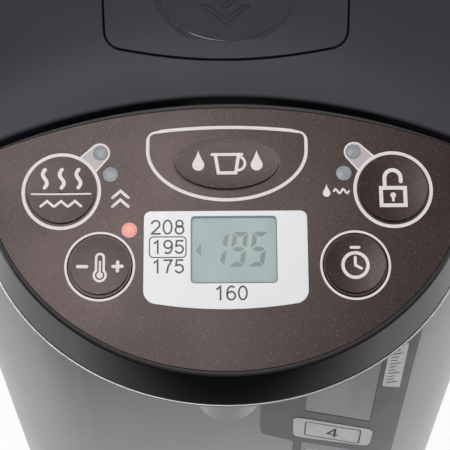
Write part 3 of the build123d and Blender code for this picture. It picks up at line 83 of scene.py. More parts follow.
def light_path(tree):
    """Light path node, and an output that is 1 for camera and transmission rays."""
    path = tree.nodes.new("ShaderNodeLightPath")
    either = tree.nodes.new("ShaderNodeMath")
    either.operation = "MAXIMUM"
    tree.links.new(path.outputs["Is Camera Ray"], either.inputs[0])
    tree.links.new(path.outputs["Is Transmission Ray"], either.inputs[1])
    return path, either.outputs[0]


def layered(tree, below, above, factor):
    """Shader above over the shader below, by factor."""
    mix = tree.nodes.new("ShaderNodeMixShader")
    for output, target in zip((factor, below.outputs[0], above.outputs[0]), mix.inputs):
        tree.links.new(output, target)
    return mix


def backdrop(tree, colour, strength):
    """Even light from all round."""
    made = tree.nodes.new("ShaderNodeBackground")
    made.inputs["Color"].default_value = (*colour, 1)
    made.inputs["Strength"].default_value = strength
    return made


world = bpy.data.worlds.new("studio")
scene.world = world
world.use_nodes = True
air = world.node_tree
air.nodes.clear()
ambient = backdrop(air, (0.97, 0.98, 1), 0.36)
white = backdrop(air, (1, 1, 1), 1.0)
around = layered(air, ambient, white, light_path(air)[1])
air.links.new(around.outputs[0], air.nodes.new("ShaderNodeOutputWorld").inputs[0])


# ---------------------------------------------------------------- materials
class Look:
    """A procedural material: one Principled shader, with texture nodes in object metres."""

    def __init__(self, name, colour, roughness, metallic=0.0, **sockets):
        self.material = bpy.data.materials.new(name)
        self.material.use_nodes = True
        self.tree = self.material.node_tree
        self.shader = self.tree.nodes["Principled BSDF"]
        self.colour = colour
        self.roughness = roughness
        self.shader.inputs["Base Color"].default_value = (*colour, 1)
        self.shader.inputs["Roughness"].default_value = roughness
        self.shader.inputs["Metallic"].default_value = metallic
        for key, value in sockets.items():
            self.shader.inputs[key.replace("_", " ")].default_value = value
        self.coordinates = self.tree.nodes.new("ShaderNodeTexCoord")
        self.base = self.normal = None

    def link(self, output, target):
        """Joins two sockets of the material."""
        self.tree.links.new(output, target)

    def noise(self, size, detail=2.0, stretch=(1, 1, 1)):
        """Noise with features of about size millimetres."""
        mapping = self.tree.nodes.new("ShaderNodeMapping")
        mapping.inputs["Scale"].default_value = stretch
        self.link(self.coordinates.outputs["Object"], mapping.inputs["Vector"])
        texture = self.tree.nodes.new("ShaderNodeTexNoise")
        texture.inputs["Scale"].default_value = 1 / (size * MM)
        texture.inputs["Detail"].default_value = detail
        self.link(mapping.outputs[0], texture.inputs["Vector"])
        return texture.outputs["Fac"]

    def span(self, value, low, high, start=0.3, end=0.7):
        """Maps a texture's middle range onto low to high."""
        ranger = self.tree.nodes.new("ShaderNodeMapRange")
        for key, number in (("From Min", start), ("From Max", end),
                            ("To Min", low), ("To Max", high)):
            ranger.inputs[key].default_value = number
        self.link(value, ranger.inputs["Value"])
        return ranger.outputs[0]

    def mixed(self, factor, dark, light):
        """Colour between dark and light, by factor."""
        mix = self.tree.nodes.new("ShaderNodeMix")
        mix.data_type = "RGBA"
        self.link(factor, mix.inputs["Factor"])
        for index, colour in ((6, dark), (7, light)):
            if isinstance(colour, tuple):
                mix.inputs[index].default_value = (*colour, 1)
            else:
                self.link(colour, mix.inputs[index])
        return mix.outputs[2]

    def paint(self, factor, dark, light):
        """Makes the base colour a mix of the two, by factor."""
        self.base = self.mixed(factor, dark, light)
        self.link(self.base, self.shader.inputs["Base Color"])

    def mottle(self, size, amount, detail=3.0, stretch=(1, 1, 1)):
        """Slight variation of the base colour."""
        dark = tuple(channel * (1 - amount) for channel in self.colour)
        light = tuple(min(channel * (1 + amount), 1) for channel in self.colour)
        self.paint(self.span(self.noise(size, detail, stretch), 0, 1), dark, light)
        return self

    def smudge(self, size, amount):
        """Broad variation of the roughness, as handling leaves it."""
        low, high = self.roughness - amount, self.roughness + amount
        self.link(self.span(self.noise(size, 4.0), low, high), self.shader.inputs["Roughness"])
        return self

    def soften(self, radius):
        """Rounded look of the edges."""
        bevel = self.tree.nodes.new("ShaderNodeBevel")
        bevel.inputs["Radius"].default_value = radius * MM
        self.normal = bevel.outputs[0]
        self.link(self.normal, self.shader.inputs["Normal"])
        return self

    def grain(self, size, height, detail=2.0, stretch=(1, 1, 1)):
        """Fine relief of the surface."""
        bump = self.tree.nodes.new("ShaderNodeBump")
        bump.inputs["Distance"].default_value = height * MM
        bump.inputs["Strength"].default_value = 1.0
        self.link(self.noise(size, detail, stretch), bump.inputs["Height"])
        if self.normal:
            self.link(self.normal, bump.inputs["Normal"])
        self.normal = bump.outputs[0]
        self.link(self.normal, self.shader.inputs["Normal"])
        return self

    def flakes(self, size, share, colour):
        """Small bright flakes in the print or lacquer, over the base colour."""
        cells = self.tree.nodes.new("ShaderNodeTexVoronoi")
        cells.inputs["Scale"].default_value = 1 / (size * MM)
        self.link(self.coordinates.outputs["Object"], cells.inputs["Vector"])
        split = self.tree.nodes.new("ShaderNodeSeparateColor")
        self.link(cells.outputs["Color"], split.inputs[0])
        self.paint(self.span(split.outputs[0], 0, 1, 1 - share, 1), self.base, colour)
        return self

    def face_up(self, direction, colour, start, end, roughness=None):
        """Painted light and shade: another colour and roughness where the surface faces that way in its own frame."""
        dot = self.tree.nodes.new("ShaderNodeVectorMath")
        dot.operation = "DOT_PRODUCT"
        dot.inputs[1].default_value = direction
        self.link(self.coordinates.outputs["Normal"], dot.inputs[0])
        factor = self.span(dot.outputs["Value"], 0, 1, start, end)
        self.paint(factor, self.base, colour)
        if roughness:
            self.link(self.span(factor, self.roughness, roughness, 0, 1),
                      self.shader.inputs["Roughness"])
        return self


panel_slope = radians(25)
panel_normal = Vector((0, -sin(panel_slope), cos(panel_slope)))


def flaked_print(name):
    """The panel's brown print with fine bright flakes."""
    return (Look(name, (0.026, 0.018, 0.016), 0.31, 0.1,
                 Specular_Tint=(1, 0.80, 0.77, 1), Specular_IOR_Level=0.34)
            .mottle(0.5, 0.16).flakes(0.34, 0.12, (0.075, 0.06, 0.055)).smudge(40, 0.05))


looks = {
    # lid_plastic: faces that look forward go near black, painted shade of the narrow gap in front of the lid
    "lid_plastic": Look("lid_plastic", (0.036, 0.031, 0.040), 0.5, Specular_IOR_Level=0.3)
    .mottle(35, 0.05).face_up((0, -1, 0), (0.004, 0.003, 0.004), 0.86, 0.98).smudge(60, 0.04)
    .soften(0.5).grain(0.5, 0.006),
    "shoulder_plastic": Look("shoulder_plastic", (0.042, 0.039, 0.045), 0.42)
    .mottle(30, 0.06).smudge(50, 0.05).soften(0.6).grain(0.45, 0.01),
    # beak_gloss: faces that look up like the panel turn lighter grey and rougher, a painted sheen of the light from
    # above on the near-black rim
    "beak_gloss": Look("beak_gloss", (0.003, 0.0016, 0.0016), 0.1, Specular_IOR_Level=0.3)
    .mottle(20, 0.1).face_up(panel_normal, (0.03, 0.026, 0.027), 0.86, 0.97, 0.5)
    .soften(0.25),
    "panel_print": flaked_print("panel_print").grain(0.3, 0.004),
    "key_print": flaked_print("key_print").soften(0.12).grain(0.3, 0.004),
    "print_ink": Look("print_ink", (0.80, 0.735, 0.735), 0.45)
    .mottle(1.5, 0.04).grain(0.3, 0.004),
    "tab_ink": Look("tab_ink", (0.49, 0.44, 0.45), 0.45).mottle(2.0, 0.05).grain(0.4, 0.004),
    "lamp_off": Look("lamp_off", (0.31, 0.325, 0.335), 0.3, Specular_IOR_Level=0.3)
    .mottle(1.6, 0.12).grain(0.25, 0.006),
    "lamp_lit": Look("lamp_lit", (0.82, 0.34, 0.28), 0.3, Emission_Color=(1, 0.33, 0.26, 1),
                     Emission_Strength=0.16, Specular_IOR_Level=0.3)
    .mottle(1.5, 0.1).grain(0.25, 0.006),
    "plate_gloss": Look("plate_gloss", (0.80, 0.80, 0.81), 0.3, Specular_IOR_Level=0.35)
    .mottle(12, 0.02).smudge(25, 0.04).soften(0.15),
    "number_ink": Look("number_ink", (0.017, 0.017, 0.02), 0.4).mottle(1.2, 0.1),
    "lcd_glass": Look("lcd_glass", (0.41, 0.51, 0.49), 0.3, Specular_IOR_Level=0.15)
    .mottle(9, 0.05).smudge(10, 0.03),
    "lcd_shade": Look("lcd_shade", (0.20, 0.24, 0.235), 0.5).mottle(3, 0.1),
    "lamp_rim": Look("lamp_rim", (0.24, 0.06, 0.045), 0.5).mottle(2, 0.1),
    "lcd_ink": Look("lcd_ink", (0.125, 0.175, 0.165), 0.3).mottle(0.9, 0.12),
    "silver_lacquer": Look("silver_lacquer", (0.30, 0.30, 0.315), 0.30, 0.85)
    .mottle(0.5, 0.04).flakes(0.3, 0.05, (0.38, 0.38, 0.39)).smudge(80, 0.03).grain(0.3, 0.0015),
    "lid_edge": Look("lid_edge", (0.037, 0.032, 0.041), 0.12, Specular_IOR_Level=1.0)
    .mottle(20, 0.05),
    "seam_shadow": Look("seam_shadow", (0.006, 0.005, 0.006), 0.7, Specular_IOR_Level=0.1)
    .mottle(2, 0.2),
    "trim_silver": Look("trim_silver", (0.42, 0.41, 0.41), 0.38, 1.0)
    .mottle(3, 0.05).grain(0.2, 0.002, stretch=(0.1, 1, 1)),
    "gauge_surround": Look("gauge_surround", (0.12, 0.12, 0.128), 0.34)
    .mottle(18, 0.06).smudge(30, 0.05).soften(0.3).grain(0.4, 0.006),
    "gauge_pane": Look("gauge_pane", (0.28, 0.277, 0.295), 0.14)
    .mottle(14, 0.12, 2.0, (1, 1, 0.25)).smudge(20, 0.05).soften(0.3),
    "gauge_plate": Look("gauge_plate", (0.66, 0.645, 0.65), 0.4).mottle(3, 0.06)
    .grain(0.4, 0.005),
    "spout_plastic": Look("spout_plastic", (0.40, 0.39, 0.38), 0.38)
    .mottle(8, 0.05).soften(0.3).grain(0.4, 0.005),
    "base_plastic": Look("base_plastic", (0.085, 0.085, 0.09), 0.55)
    .mottle(1.2, 0.12).smudge(30, 0.06).soften(0.4).grain(0.7, 0.03),
    "rubber": Look("rubber", (0.02, 0.02, 0.021), 0.8).mottle(1.0, 0.2).grain(0.6, 0.03),
    "steel": Look("steel", (0.62, 0.61, 0.60), 0.28, 1.0)
    .mottle(0.8, 0.04, 4.0, (1, 1, 0.04)).smudge(25, 0.03).soften(0.2)
    .grain(0.35, 0.004, 2.0, (1, 1, 0.03)),
    "screw_zinc": Look("screw_zinc", (0.50, 0.50, 0.49), 0.4, 1.0)
    .mottle(1.5, 0.15).soften(0.2).grain(0.3, 0.01),
    "galvanised": Look("galvanised", (0.48, 0.49, 0.50), 0.45, 1.0)
    .mottle(5, 0.18).smudge(12, 0.1).grain(1.0, 0.01),
    "cast_alloy": Look("cast_alloy", (0.55, 0.55, 0.56), 0.5, 1.0)
    .mottle(2.5, 0.1).smudge(10, 0.08).grain(0.8, 0.03),
    "felt": Look("felt", (0.62, 0.59, 0.50), 0.95).mottle(2.0, 0.12, 6.0).grain(0.9, 0.15, 6.0),
    "silicone": Look("silicone", (0.46, 0.46, 0.46), 0.6).mottle(4, 0.05).soften(0.3)
    .grain(0.8, 0.01),
    "natural_plastic": Look("natural_plastic", (0.52, 0.50, 0.44), 0.45).mottle(10, 0.05)
    .soften(0.3).grain(0.6, 0.01),
    "board_laminate": Look("board_laminate", (0.03, 0.12, 0.055), 0.4).mottle(6, 0.15)
    .grain(0.8, 0.01),
    "black_plastic": Look("black_plastic", (0.018, 0.018, 0.018), 0.45).mottle(3, 0.15)
    .soften(0.15).grain(0.4, 0.008),
    "pin_brass": Look("pin_brass", (0.72, 0.55, 0.25), 0.3, 1.0).mottle(1.0, 0.08).soften(0.15)
    .grain(0.3, 0.004),
    "clear_tube": Look("clear_tube", (0.82, 0.86, 0.87), 0.06, Transmission_Weight=0.9, IOR=1.47)
    .mottle(12, 0.03),
}

# the look that each CAD node wears
dressed = {
    "lid_plastic": ("lid_cover", "lid_lever", "steam_vent"),
    "shoulder_plastic": ("upper_housing", "mouth_collar", "carry_handle"),
    "beak_gloss": ("front_cover",),
    "panel_print": ("panel_sheet",),
    "key_print": ("reboil_key", "unlock_key", "temperature_key", "timer_key", "dispense_key"),
    "lamp_off": ("lamp_lenses",),
    "plate_gloss": ("lcd_plate",),
    "lcd_glass": ("lcd_window",),
    "silver_lacquer": ("outer_sleeve",),
    "gauge_surround": ("gauge_bezel",),
    "gauge_pane": ("gauge_lens",),
    "spout_plastic": ("spout_nozzle",),
    "base_plastic": ("swivel_base", "bottom_cover", "beak_underside", "lid_base",
                     "plug_receptacle"),
    "rubber": ("base_feet",),
    "steel": ("inner_pot", "outlet_strainer", "inner_lid", "lid_hinge_pin", "handle_pivots",
              "valve_ball", "motor_case", "motor_rotor"),
    "screw_zinc": ("swivel_screw", "bottom_screws", "board_screws"),
    "galvanised": ("chassis_plate", "heater_clamp"),
    "cast_alloy": ("heater_plate",),
    "felt": ("insulation_jacket",),
    "silicone": ("pot_gasket", "inlet_sleeve", "delivery_hose", "gauge_seals", "thermal_fuse",
                 "lid_gasket"),
    "natural_plastic": ("pump_body", "pump_cover", "pump_impeller", "valve_cage", "spout_pipe",
                        "lid_latch"),
    "board_laminate": ("display_board", "power_board"),
    "black_plastic": ("key_switches", "thermistor", "lcd_module"),
    "pin_brass": ("receptacle_pins",),
    "clear_tube": ("gauge_tube",),
}
for look_name, wearers in dressed.items():
    for wearer in wearers:
        for slot in nodes[wearer].material_slots:
            slot.material = looks[look_name].material

floor_half = 6
floor_drop = 0.0002                # keeps the floor out of the feet's faces
floor_mesh = bpy.data.meshes.new("floor")
floor_mesh.from_pydata([(-floor_half, -floor_half, 0), (floor_half, -floor_half, 0),
                        (floor_half, floor_half, 0), (-floor_half, floor_half, 0)],
                       [], [(0, 1, 2, 3)])
floor_look = Look("floor_paper", (0.93, 0.93, 0.93), 0.9, Specular_IOR_Level=0.1)
floor_look.mottle(400, 0.01)
paper = floor_look.tree.nodes
ray, viewed = light_path(floor_look.tree)

# seen directly, the floor is nearly white, and the rest of it takes the pot's shadow
share = paper.new("ShaderNodeMath")
share.operation = "MULTIPLY"
share.inputs[1].default_value = 0.95
floor_look.link(viewed, share.inputs[0])
glow = paper.new("ShaderNodeEmission")
surface = layered(floor_look.tree, floor_look.shader, glow, share.outputs[0])

# for glossy rays only, the floor glows dim in a patch a little way in front of the pot, and bright elsewhere: a
# painted dark reflection in the beak and the body
reach = paper.new("ShaderNodeMapping")
reach.vector_type = "TEXTURE"
reach.inputs["Location"].default_value = (0, -0.56, 0)
reach.inputs["Scale"].default_value = (0.80, 0.35, 1)
floor_look.link(floor_look.coordinates.outputs["Object"], reach.inputs["Vector"])
away = paper.new("ShaderNodeVectorMath")
away.operation = "LENGTH"
floor_look.link(reach.outputs[0], away.inputs[0])
painted_reflection = paper.new("ShaderNodeEmission")
floor_look.link(floor_look.span(away.outputs["Value"], 0.03, 0.95, 0.85, 1.12),
                painted_reflection.inputs["Strength"])
surface = layered(floor_look.tree, surface, painted_reflection, ray.outputs["Is Glossy Ray"])
floor_look.link(surface.outputs[0], paper["Material Output"].inputs["Surface"])
floor_mesh.materials.append(floor_look.material)
floor = bpy.data.objects.new("floor", floor_mesh)
floor.location.z = -floor_drop
scene.collection.objects.link(floor)


# ---------------------------------------------------------------- flat shapes, in millimetres
def arc(x, y, radius, start, end, steps=24, flat=1.0):
    """Points round a centre from one angle to another, in degrees."""
    return [(x + radius * cos(radians(start + (end - start) * i / steps)),
             y + radius * flat * sin(radians(start + (end - start) * i / steps)))
            for i in range(steps + 1)]


def between(points, step):
    """The same line with more points on its long runs."""
    dense = [points[0]]
    for (x0, y0), (x1, y1) in zip(points, points[1:]):
        parts = max(1, round((Vector((x1, y1)) - Vector((x0, y0))).length / step))
        dense += [(x0 + (x1 - x0) * i / parts, y0 + (y1 - y0) * i / parts)
                  for i in range(1, parts + 1)]
    return dense


def edges_of(points, width, closed):
    """The two sides of a strip of that width along a line of points, mitred at its corners."""
    sides = ([], [])
    count = len(points)
    for i in range(count):
        here = Vector(points[i])
        before = Vector(points[i - 1]) if i or closed else None
        after = Vector(points[(i + 1) % count]) if i < count - 1 or closed else None
        ahead = (after - here).normalized() if after else (here - before).normalized()
        behind = (here - before).normalized() if before else ahead
        across = (Vector((-ahead.y, ahead.x)) + Vector((-behind.y, behind.x))).normalized()
        reach = width / 2 / max(0.5, across.dot(Vector((-ahead.y, ahead.x))))
        sides[0].append(tuple(here + across * reach))
        sides[1].append(tuple(here - across * reach))
    return sides


def stroke(points, width, closed=False, step=0.8, round_ends=True):
    """Four-sided polygons that draw a line of that width, with round ends."""
    if closed and points[0] == points[-1]:
        points = points[:-1]
    dense = between(points + points[:1], step)[:-1] if closed else between(points, step)
    one, other = edges_of(dense, width, closed)
    count = len(dense)
    last = count if closed else count - 1
    faces = [[one[i], other[i], other[(i + 1) % count], one[(i + 1) % count]]
             for i in range(last)]
    if not closed and round_ends:
        for x, y in (points[0], points[-1]):
            faces.append(arc(x, y, width / 2, 0, 360, 12)[:-1])
    return faces


def strokes(lines, width):
    """Several open lines of one width."""
    return [face for line in lines for face in stroke(line, width)]


def ring(x, y, inner, outer, steps=96):
    """Flat ring between two radii."""
    near, far = (arc(x, y, radius, 0, 360, steps) for radius in (inner, outer))
    return [[near[i], far[i], far[i + 1], near[i + 1]] for i in range(steps)]


def fan(outline):
    """Triangles from an outline's middle to its edge."""
    middle = (sum(x for x, _ in outline) / len(outline), sum(y for _, y in outline) / len(outline))
    return [[middle, outline[i - 1], outline[i]] for i in range(len(outline))]


def moved(faces, x, y, scale=1.0, turn=0.0):
    """Faces turned by degrees, scaled and moved."""
    c, s = cos(radians(turn)) * scale, sin(radians(turn)) * scale
    return [[(x + c * px - s * py, y + s * px + c * py) for px, py in face] for face in faces]


def rounded(corners, radius, steps=4):
    """A polygon's outline with round corners."""
    points = []
    count = len(corners)
    for i in range(count):
        here = Vector(corners[i])
        one = (Vector(corners[i - 1]) - here).normalized() * radius
        two = (Vector(corners[(i + 1) % count]) - here).normalized() * radius
        for t in [j / steps for j in range(steps + 1)]:
            points.append(tuple(here + one * (1 - t) ** 2 + two * t ** 2))
    return points


def number(text, x, y, height, weight=0.58):
    """Plain digits drawn with one pen, their row centred on (x, y)."""
    pitch = 0.77 * height
    # each digit's lines for a height of about 1 round its middle, and whether they are closed
    digits = {
        "0": ([arc(0, 0, 0.27, 0, 360, 28, 1.65)], True),
        "1": ([[(-0.17, 0.26), (0.06, 0.44), (0.06, -0.44)]], False),
        "2": ([arc(0, 0.17, 0.26, 165, -35, 16) + [(-0.26, -0.44), (0.28, -0.44)]], False),
        "4": ([[(0.13, -0.44), (0.13, 0.44), (-0.27, -0.19), (0.27, -0.19)]], False),
        "5": ([[(0.23, 0.44), (-0.17, 0.44), (-0.22, 0.06)] + arc(0, -0.16, 0.275, 125, -150, 20)],
              False),
        "6": ([arc(0.03, 0.02, 0.30, 60, 180, 12, 1.42) + arc(0, -0.18, 0.27, 180, 520, 24)],
              False),
        "7": ([[(-0.26, 0.44), (0.27, 0.44), (0.02, 0), (-0.08, -0.44)]], False),
        "8": ([arc(0, 0.225, 0.215, 270, 630, 24), arc(0, -0.19, 0.26, 90, 450, 28)], True),
        "9": ([arc(-0.03, -0.02, 0.30, -120, 0, 12, 1.42) + arc(0, 0.18, 0.27, 0, 340, 24)],
              False),
    }
    faces = []
    for place, digit in enumerate(text):
        lines, closed = digits[digit]
        for line in lines:
            drawn = [(px * height, py * height) for px, py in line]
            faces += moved(stroke(drawn, weight, closed, 0.5),
                           x + pitch * (place - (len(text) - 1) / 2), y)
    return faces


# ---------------------------------------------------------------- putting shapes in place
panel_y, panel_z = -97, 296       # the control panel's plane passes through here
ray_start_up = 5                  # rays start this far over the panel,
ray_start_y = -160                # before the pot's front
ray_start_z = 400                 # and over its top
front_wall_y = -99                # where a ray that meets nothing is taken to land
lever_top_z = 330


def on_panel(across, up, height=0.0):
    """Point on the control panel's plane, height above it."""
    return (Vector((across, panel_y, panel_z)) * MM
            + Vector((0, cos(panel_slope), sin(panel_slope))) * up * MM
            + panel_normal * height * MM)


def surface_of(*names):
    """Ray-cast tree of CAD nodes as they stand at rest."""
    vertices, polygons = [], []
    for name in names:
        mesh = nodes[name].data
        start = len(vertices)
        vertices += [vertex.co.copy() for vertex in mesh.vertices]
        polygons += [[start + i for i in polygon.vertices] for polygon in mesh.polygons]
    return BVHTree.FromPolygons(vertices, polygons)


def flat_on_panel(height):
    """Places a point at that height over the panel's plane."""
    return lambda across, up: on_panel(across, up, height)


def landed(surface, start, way, otherwise, height):
    """Where a ray from start meets the surface, or otherwise, and then height back from it."""
    hit = surface.ray_cast(start, way)[0]
    return (hit if hit else otherwise) - way * height * MM


def laid_on_key(name, height):
    """Places a point on a key's dished top."""
    surface = surface_of(name)
    return lambda across, up: landed(surface, on_panel(across, up, ray_start_up),
                                     -panel_normal, on_panel(across, up), height)


def laid_on_front(names, height):
    """Places a point (x, z) on the pot's front wall."""
    surface = surface_of(*names)
    return lambda x, z: landed(surface, Vector((x, ray_start_y, z)) * MM, Vector((0, 1, 0)),
                               Vector((x, front_wall_y, z)) * MM, height)


def laid_on_top(names, height):
    """Places a point (x, y) on what lies uppermost there."""
    surface = surface_of(*names)
    return lambda x, y: landed(surface, Vector((x, y, ray_start_z)) * MM, Vector((0, 0, -1)),
                               Vector((x, y, lever_top_z)) * MM, height)


def piece(name, faces, place, look, body):
    """Mesh of shared corners from flat faces, put in place and riding on its body."""
    index, vertices, polygons = {}, [], []
    for face in faces:
        corners = []
        for x, y in face:
            key = (round(x, 4), round(y, 4))
            if key not in index:
                index[key] = len(vertices)
                vertices.append(place(x, y))
            if index[key] not in corners:
                corners.append(index[key])
        if len(corners) > 2:
            polygons.append(corners)
    mesh = bpy.data.meshes.new(name)
    mesh.from_pydata(vertices, [], polygons)
    mesh.materials.append(looks[look].material)
    mesh.update()
    made = bpy.data.objects.new(name, mesh)
    scene.collection.objects.link(made)
    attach(made, body)
    return made


def thicken(made, depth, edge, outward):
    """Gives a flat piece a thickness below its face and a small round edge."""
    facing = sum((polygon.normal * polygon.area for polygon in made.data.polygons), Vector())
    if facing.dot(Vector(outward)) < 0:
        made.data.flip_normals()
    solidify = made.modifiers.new("depth", "SOLIDIFY")
    solidify.thickness = depth * MM
    solidify.offset = -1
    bevel = made.modifiers.new("edge", "BEVEL")
    bevel.width = edge * MM
    bevel.segments = 2
    bevel.limit_method = "ANGLE"


INK = 0.03                     # height of a print above its surface

# ---------------------------------------------------------------- print on the control panel
upper_x, upper_y = 55.1, 16.9     # middles of the round keys, at both sides
lower_x, lower_y = 41.8, -8.6
upper_ring = (12.05, 13.2)        # inner and outer radius of the printed rings
lower_ring = (10.85, 11.6)
key_places = {
    "dispense": (0, 26.6),
    "reboil": (-upper_x, upper_y),
    "unlock": (upper_x, upper_y),
    "temperature": (-lower_x, lower_y),
    "timer": (lower_x, lower_y),
}
for key, radii in (("reboil", upper_ring), ("unlock", upper_ring),
                   ("temperature", lower_ring), ("timer", lower_ring)):
    piece(key + "_ring", ring(*key_places[key], *radii), flat_on_panel(INK), "print_ink", "pot")


def bulge(half, top, rise, at):
    """Points of a shallow arch that reaches rise over top at its middle, at those places."""
    bow = (half ** 2 + rise ** 2) / (2 * rise)
    return [(x, top + rise - bow + (bow ** 2 - x ** 2) ** 0.5) for x in at]


# middle line of the ring round the dispense key
line = 0.58
half, waist, drop, top = 27.1 - line, 31.0, 17.9 - line, 37.6 - line
rise, corner = 1.8, 3.0
outline = arc(0, waist, half, 180, 360, 72, drop / half)
outline += [(half, top - corner)]
outline += arc(half - corner, top - corner, corner, 0, 82, 8)[1:]
outline += bulge(half, top, rise, [(half - corner) * (1 - i / 12) for i in range(1, 24)])
outline += arc(corner - half, top - corner, corner, 98, 180, 8)
piece("dispense_ring", stroke(outline, 1.15, True, 1.5), flat_on_panel(INK), "print_ink", "pot")


def tab(side):
    """Tab from a round key's ring to its lamp: its outline, and its foot along the ring."""
    lamp_at = Vector((side * 42.6, 30.0))
    key_at = Vector((side * upper_x, upper_y))
    away = (lamp_at - key_at).normalized()
    foot_half, foot_reach, foot_radius = 3.6, 12.7, 13.1
    sideways = Vector((-away.y, away.x)) * foot_half
    heading = -degrees(Vector((1, 0)).angle_signed(away))
    middle = away * (foot_reach ** 2 - foot_half ** 2) ** 0.5
    start, end = middle + sideways, middle - sideways
    foot = [tuple(key_at + end.lerp(start, i / 6).normalized() * foot_radius)
            for i in range(1, 6)]
    return ([tuple(key_at + start)] + arc(lamp_at.x, lamp_at.y, 3.2, heading + 90, heading - 90, 20)
            + [tuple(key_at + end)], foot)


for side, side_name in ((-1, "left"), (1, "right")):
    points, foot = tab(side)
    piece("lamp_tab_" + side_name, fan(points + foot), flat_on_panel(INK * 0.6), "tab_ink", "pot")
    piece("lamp_tab_edge_" + side_name, stroke(points, 0.55, round_ends=False),
          flat_on_panel(INK * 1.1), "print_ink", "pot")

# joint round the panel sheet
sheet_half, sheet_waist, sheet_drop, sheet_top = 81.4, 29.6, 72.7, 45.8
seam = arc(0, sheet_waist, sheet_half, 180, 360, 120, sheet_drop / sheet_half)
seam += bulge(sheet_half, sheet_waist, sheet_top - sheet_waist,
              [sheet_half * (1 - i / 60) for i in range(1, 120)])
piece("panel_seam", stroke(seam, 0.3, True, 1.5), flat_on_panel(INK), "seam_shadow", "pot")

# ---------------------------------------------------------------- lamps
lamp_places = (
    # name, across, up the slope, radius, look
    ("lamp_cap_reboil", -42.3, 30.0, 2.2, "lamp_off"),
    ("lamp_cap_unlock", 42.3, 30.0, 2.2, "lamp_off"),
    ("lamp_cap_left", -38.9, 22.6, 2.45, "lamp_off"),
    ("lamp_cap_right", 38.9, 22.6, 2.45, "lamp_off"),
    ("lamp_cap_heat", -32.3, 3.5, 2.5, "lamp_lit"),
)
lamp_foot, lamp_rise, lamp_shells = 0.11, 0.25, 6
for name, across, up, radius, look in lamp_places:
    faces = [face for i in range(lamp_shells)
             for face in ring(across, up, radius * i / lamp_shells,
                              radius * (i + 1) / lamp_shells, 32)]

    def dome(x, y, across=across, up=up, radius=radius):
        """Places a point on the lamp's low dome."""
        out = ((x - across) ** 2 + (y - up) ** 2) / radius ** 2
        return on_panel(x, y, lamp_foot + lamp_rise * (1 - out))
    made = piece(name, faces, dome, look, "pot")
    made.data.shade_smooth()
    # a dark ring round each lamp's edge, painted shade of the seam round it, dark red round the lit lamp
    piece(name.replace("cap", "rim"), ring(across, up, radius - 0.08, radius + 0.22, 48),
          flat_on_panel(1.6 * INK), "lamp_rim" if look == "lamp_lit" else "seam_shadow", "pot")

# ---------------------------------------------------------------- pictograms on the keys
drip = fan(arc(0, -0.9, 1.75, -205, 25, 24)
           + [(0.95, 1.0), (0.3, 2.5), (0, 3.5), (-0.3, 2.5), (-0.95, 1.0)])
cup = stroke([(-3.9, 2.8), (-2.9, -3.6), (2.9, -3.6), (3.9, 2.8)], 1.15)
cup += stroke([(-5.0, 2.8), (5.0, 2.8)], 1.0)
cup += stroke(arc(3.6, -0.3, 2.4, 65, -85, 14), 0.9)
steam = strokes([[(x + 0.75 * sin(pi * i / 5), 1.9 + 0.62 * i) for i in range(11)]
                 for x in (-5.6, 0.0, 5.6)], 1.25)
chevron = [(-2.1, -0.9), (0, 0.9), (2.1, -0.9)]
lock = stroke([(-4.0, -5.4), (4.0, -5.4), (4.0, 0.6), (-4.0, 0.6)], 1.3, True)
lock += stroke([(-2.7, 0.9)] + arc(0, 4.0, 2.7, 180, 0, 16) + [(2.7, 2.8)], 1.3)
lock += fan(arc(0, -1.9, 0.95, 0, 360, 20)[:-1]) + stroke([(0, -2.2), (0, -3.7)], 0.9)
bulb = stroke([(-1.25, 3.0)] + arc(0, 3.0, 1.25, 180, 0, 10)[1:] + arc(0, -2.9, 1.95, 50, -230, 20),
              0.8, True)
bulb += fan(arc(0, -2.9, 1.05, 0, 360, 20)[:-1]) + stroke([(0, -2.9), (0, 1.6)], 0.7)
clock = stroke(arc(0, 0, 4.1, 0, 360, 48), 1.1, True)
clock += strokes([[(0, 2.6), (0, 0), (1.9, -1.1)], [(-1.3, 5.9), (1.3, 5.9)]], 0.95)

pictograms = {
    "dispense": cup + moved(drip, -9.6, 0.2, 1.15) + moved(drip, 9.9, 0.2, 1.15),
    "reboil": moved(steam, 0, -0.6) + stroke([(-9.8, -0.9), (9.8, -0.9)], 0.55)
              + [face for x in (-4.6, 0, 4.6) for face in moved(stroke(chevron, 0.85), x, -4.2)],
    "unlock": lock,
    "temperature": bulb + strokes(
        [[(-7.3, 0), (-4.3, 0)], [(4.3, 0), (7.3, 0)], [(5.8, -1.5), (5.8, 1.5)]], 1.1),
    "timer": clock,
}
for key, faces in pictograms.items():
    piece(key + "_sign", moved(faces, *key_places[key]), laid_on_key(key + "_key", INK),
          "print_ink", key)

caption_y = 16.4
double_chevron = [face for y in (12.8, 15.8) for face in
                  moved(stroke([(-2.6, -1.2), (0, 1.1), (2.6, -1.2)], 0.95), -35.4, y)]
piece("caption_left", double_chevron, flat_on_panel(INK), "print_ink", "pot")
wave = [(i * 0.5 - 2.5, 0.75 * sin(pi * i / 2.5)) for i in range(11)]
slow_drip = moved(drip, 33.0, caption_y, 0.72) + moved(stroke(wave, 0.7), 37.9, caption_y)
piece("caption_right", slow_drip, flat_on_panel(INK), "print_ink", "pot")

# ---------------------------------------------------------------- display surround and display
plate_rise, window_sink = 0.3, 0.4    # surround over the panel, window under it
plate_top = plate_rise + INK
piece("setting_numbers", number("208", -19.7, 4.4, 5.1) + number("195", -19.5, -2.3, 4.75)
      + number("175", -19.5, -8.8, 4.75) + number("160", 1.1, -17.7, 4.9),
      flat_on_panel(plate_top), "number_ink", "pot")


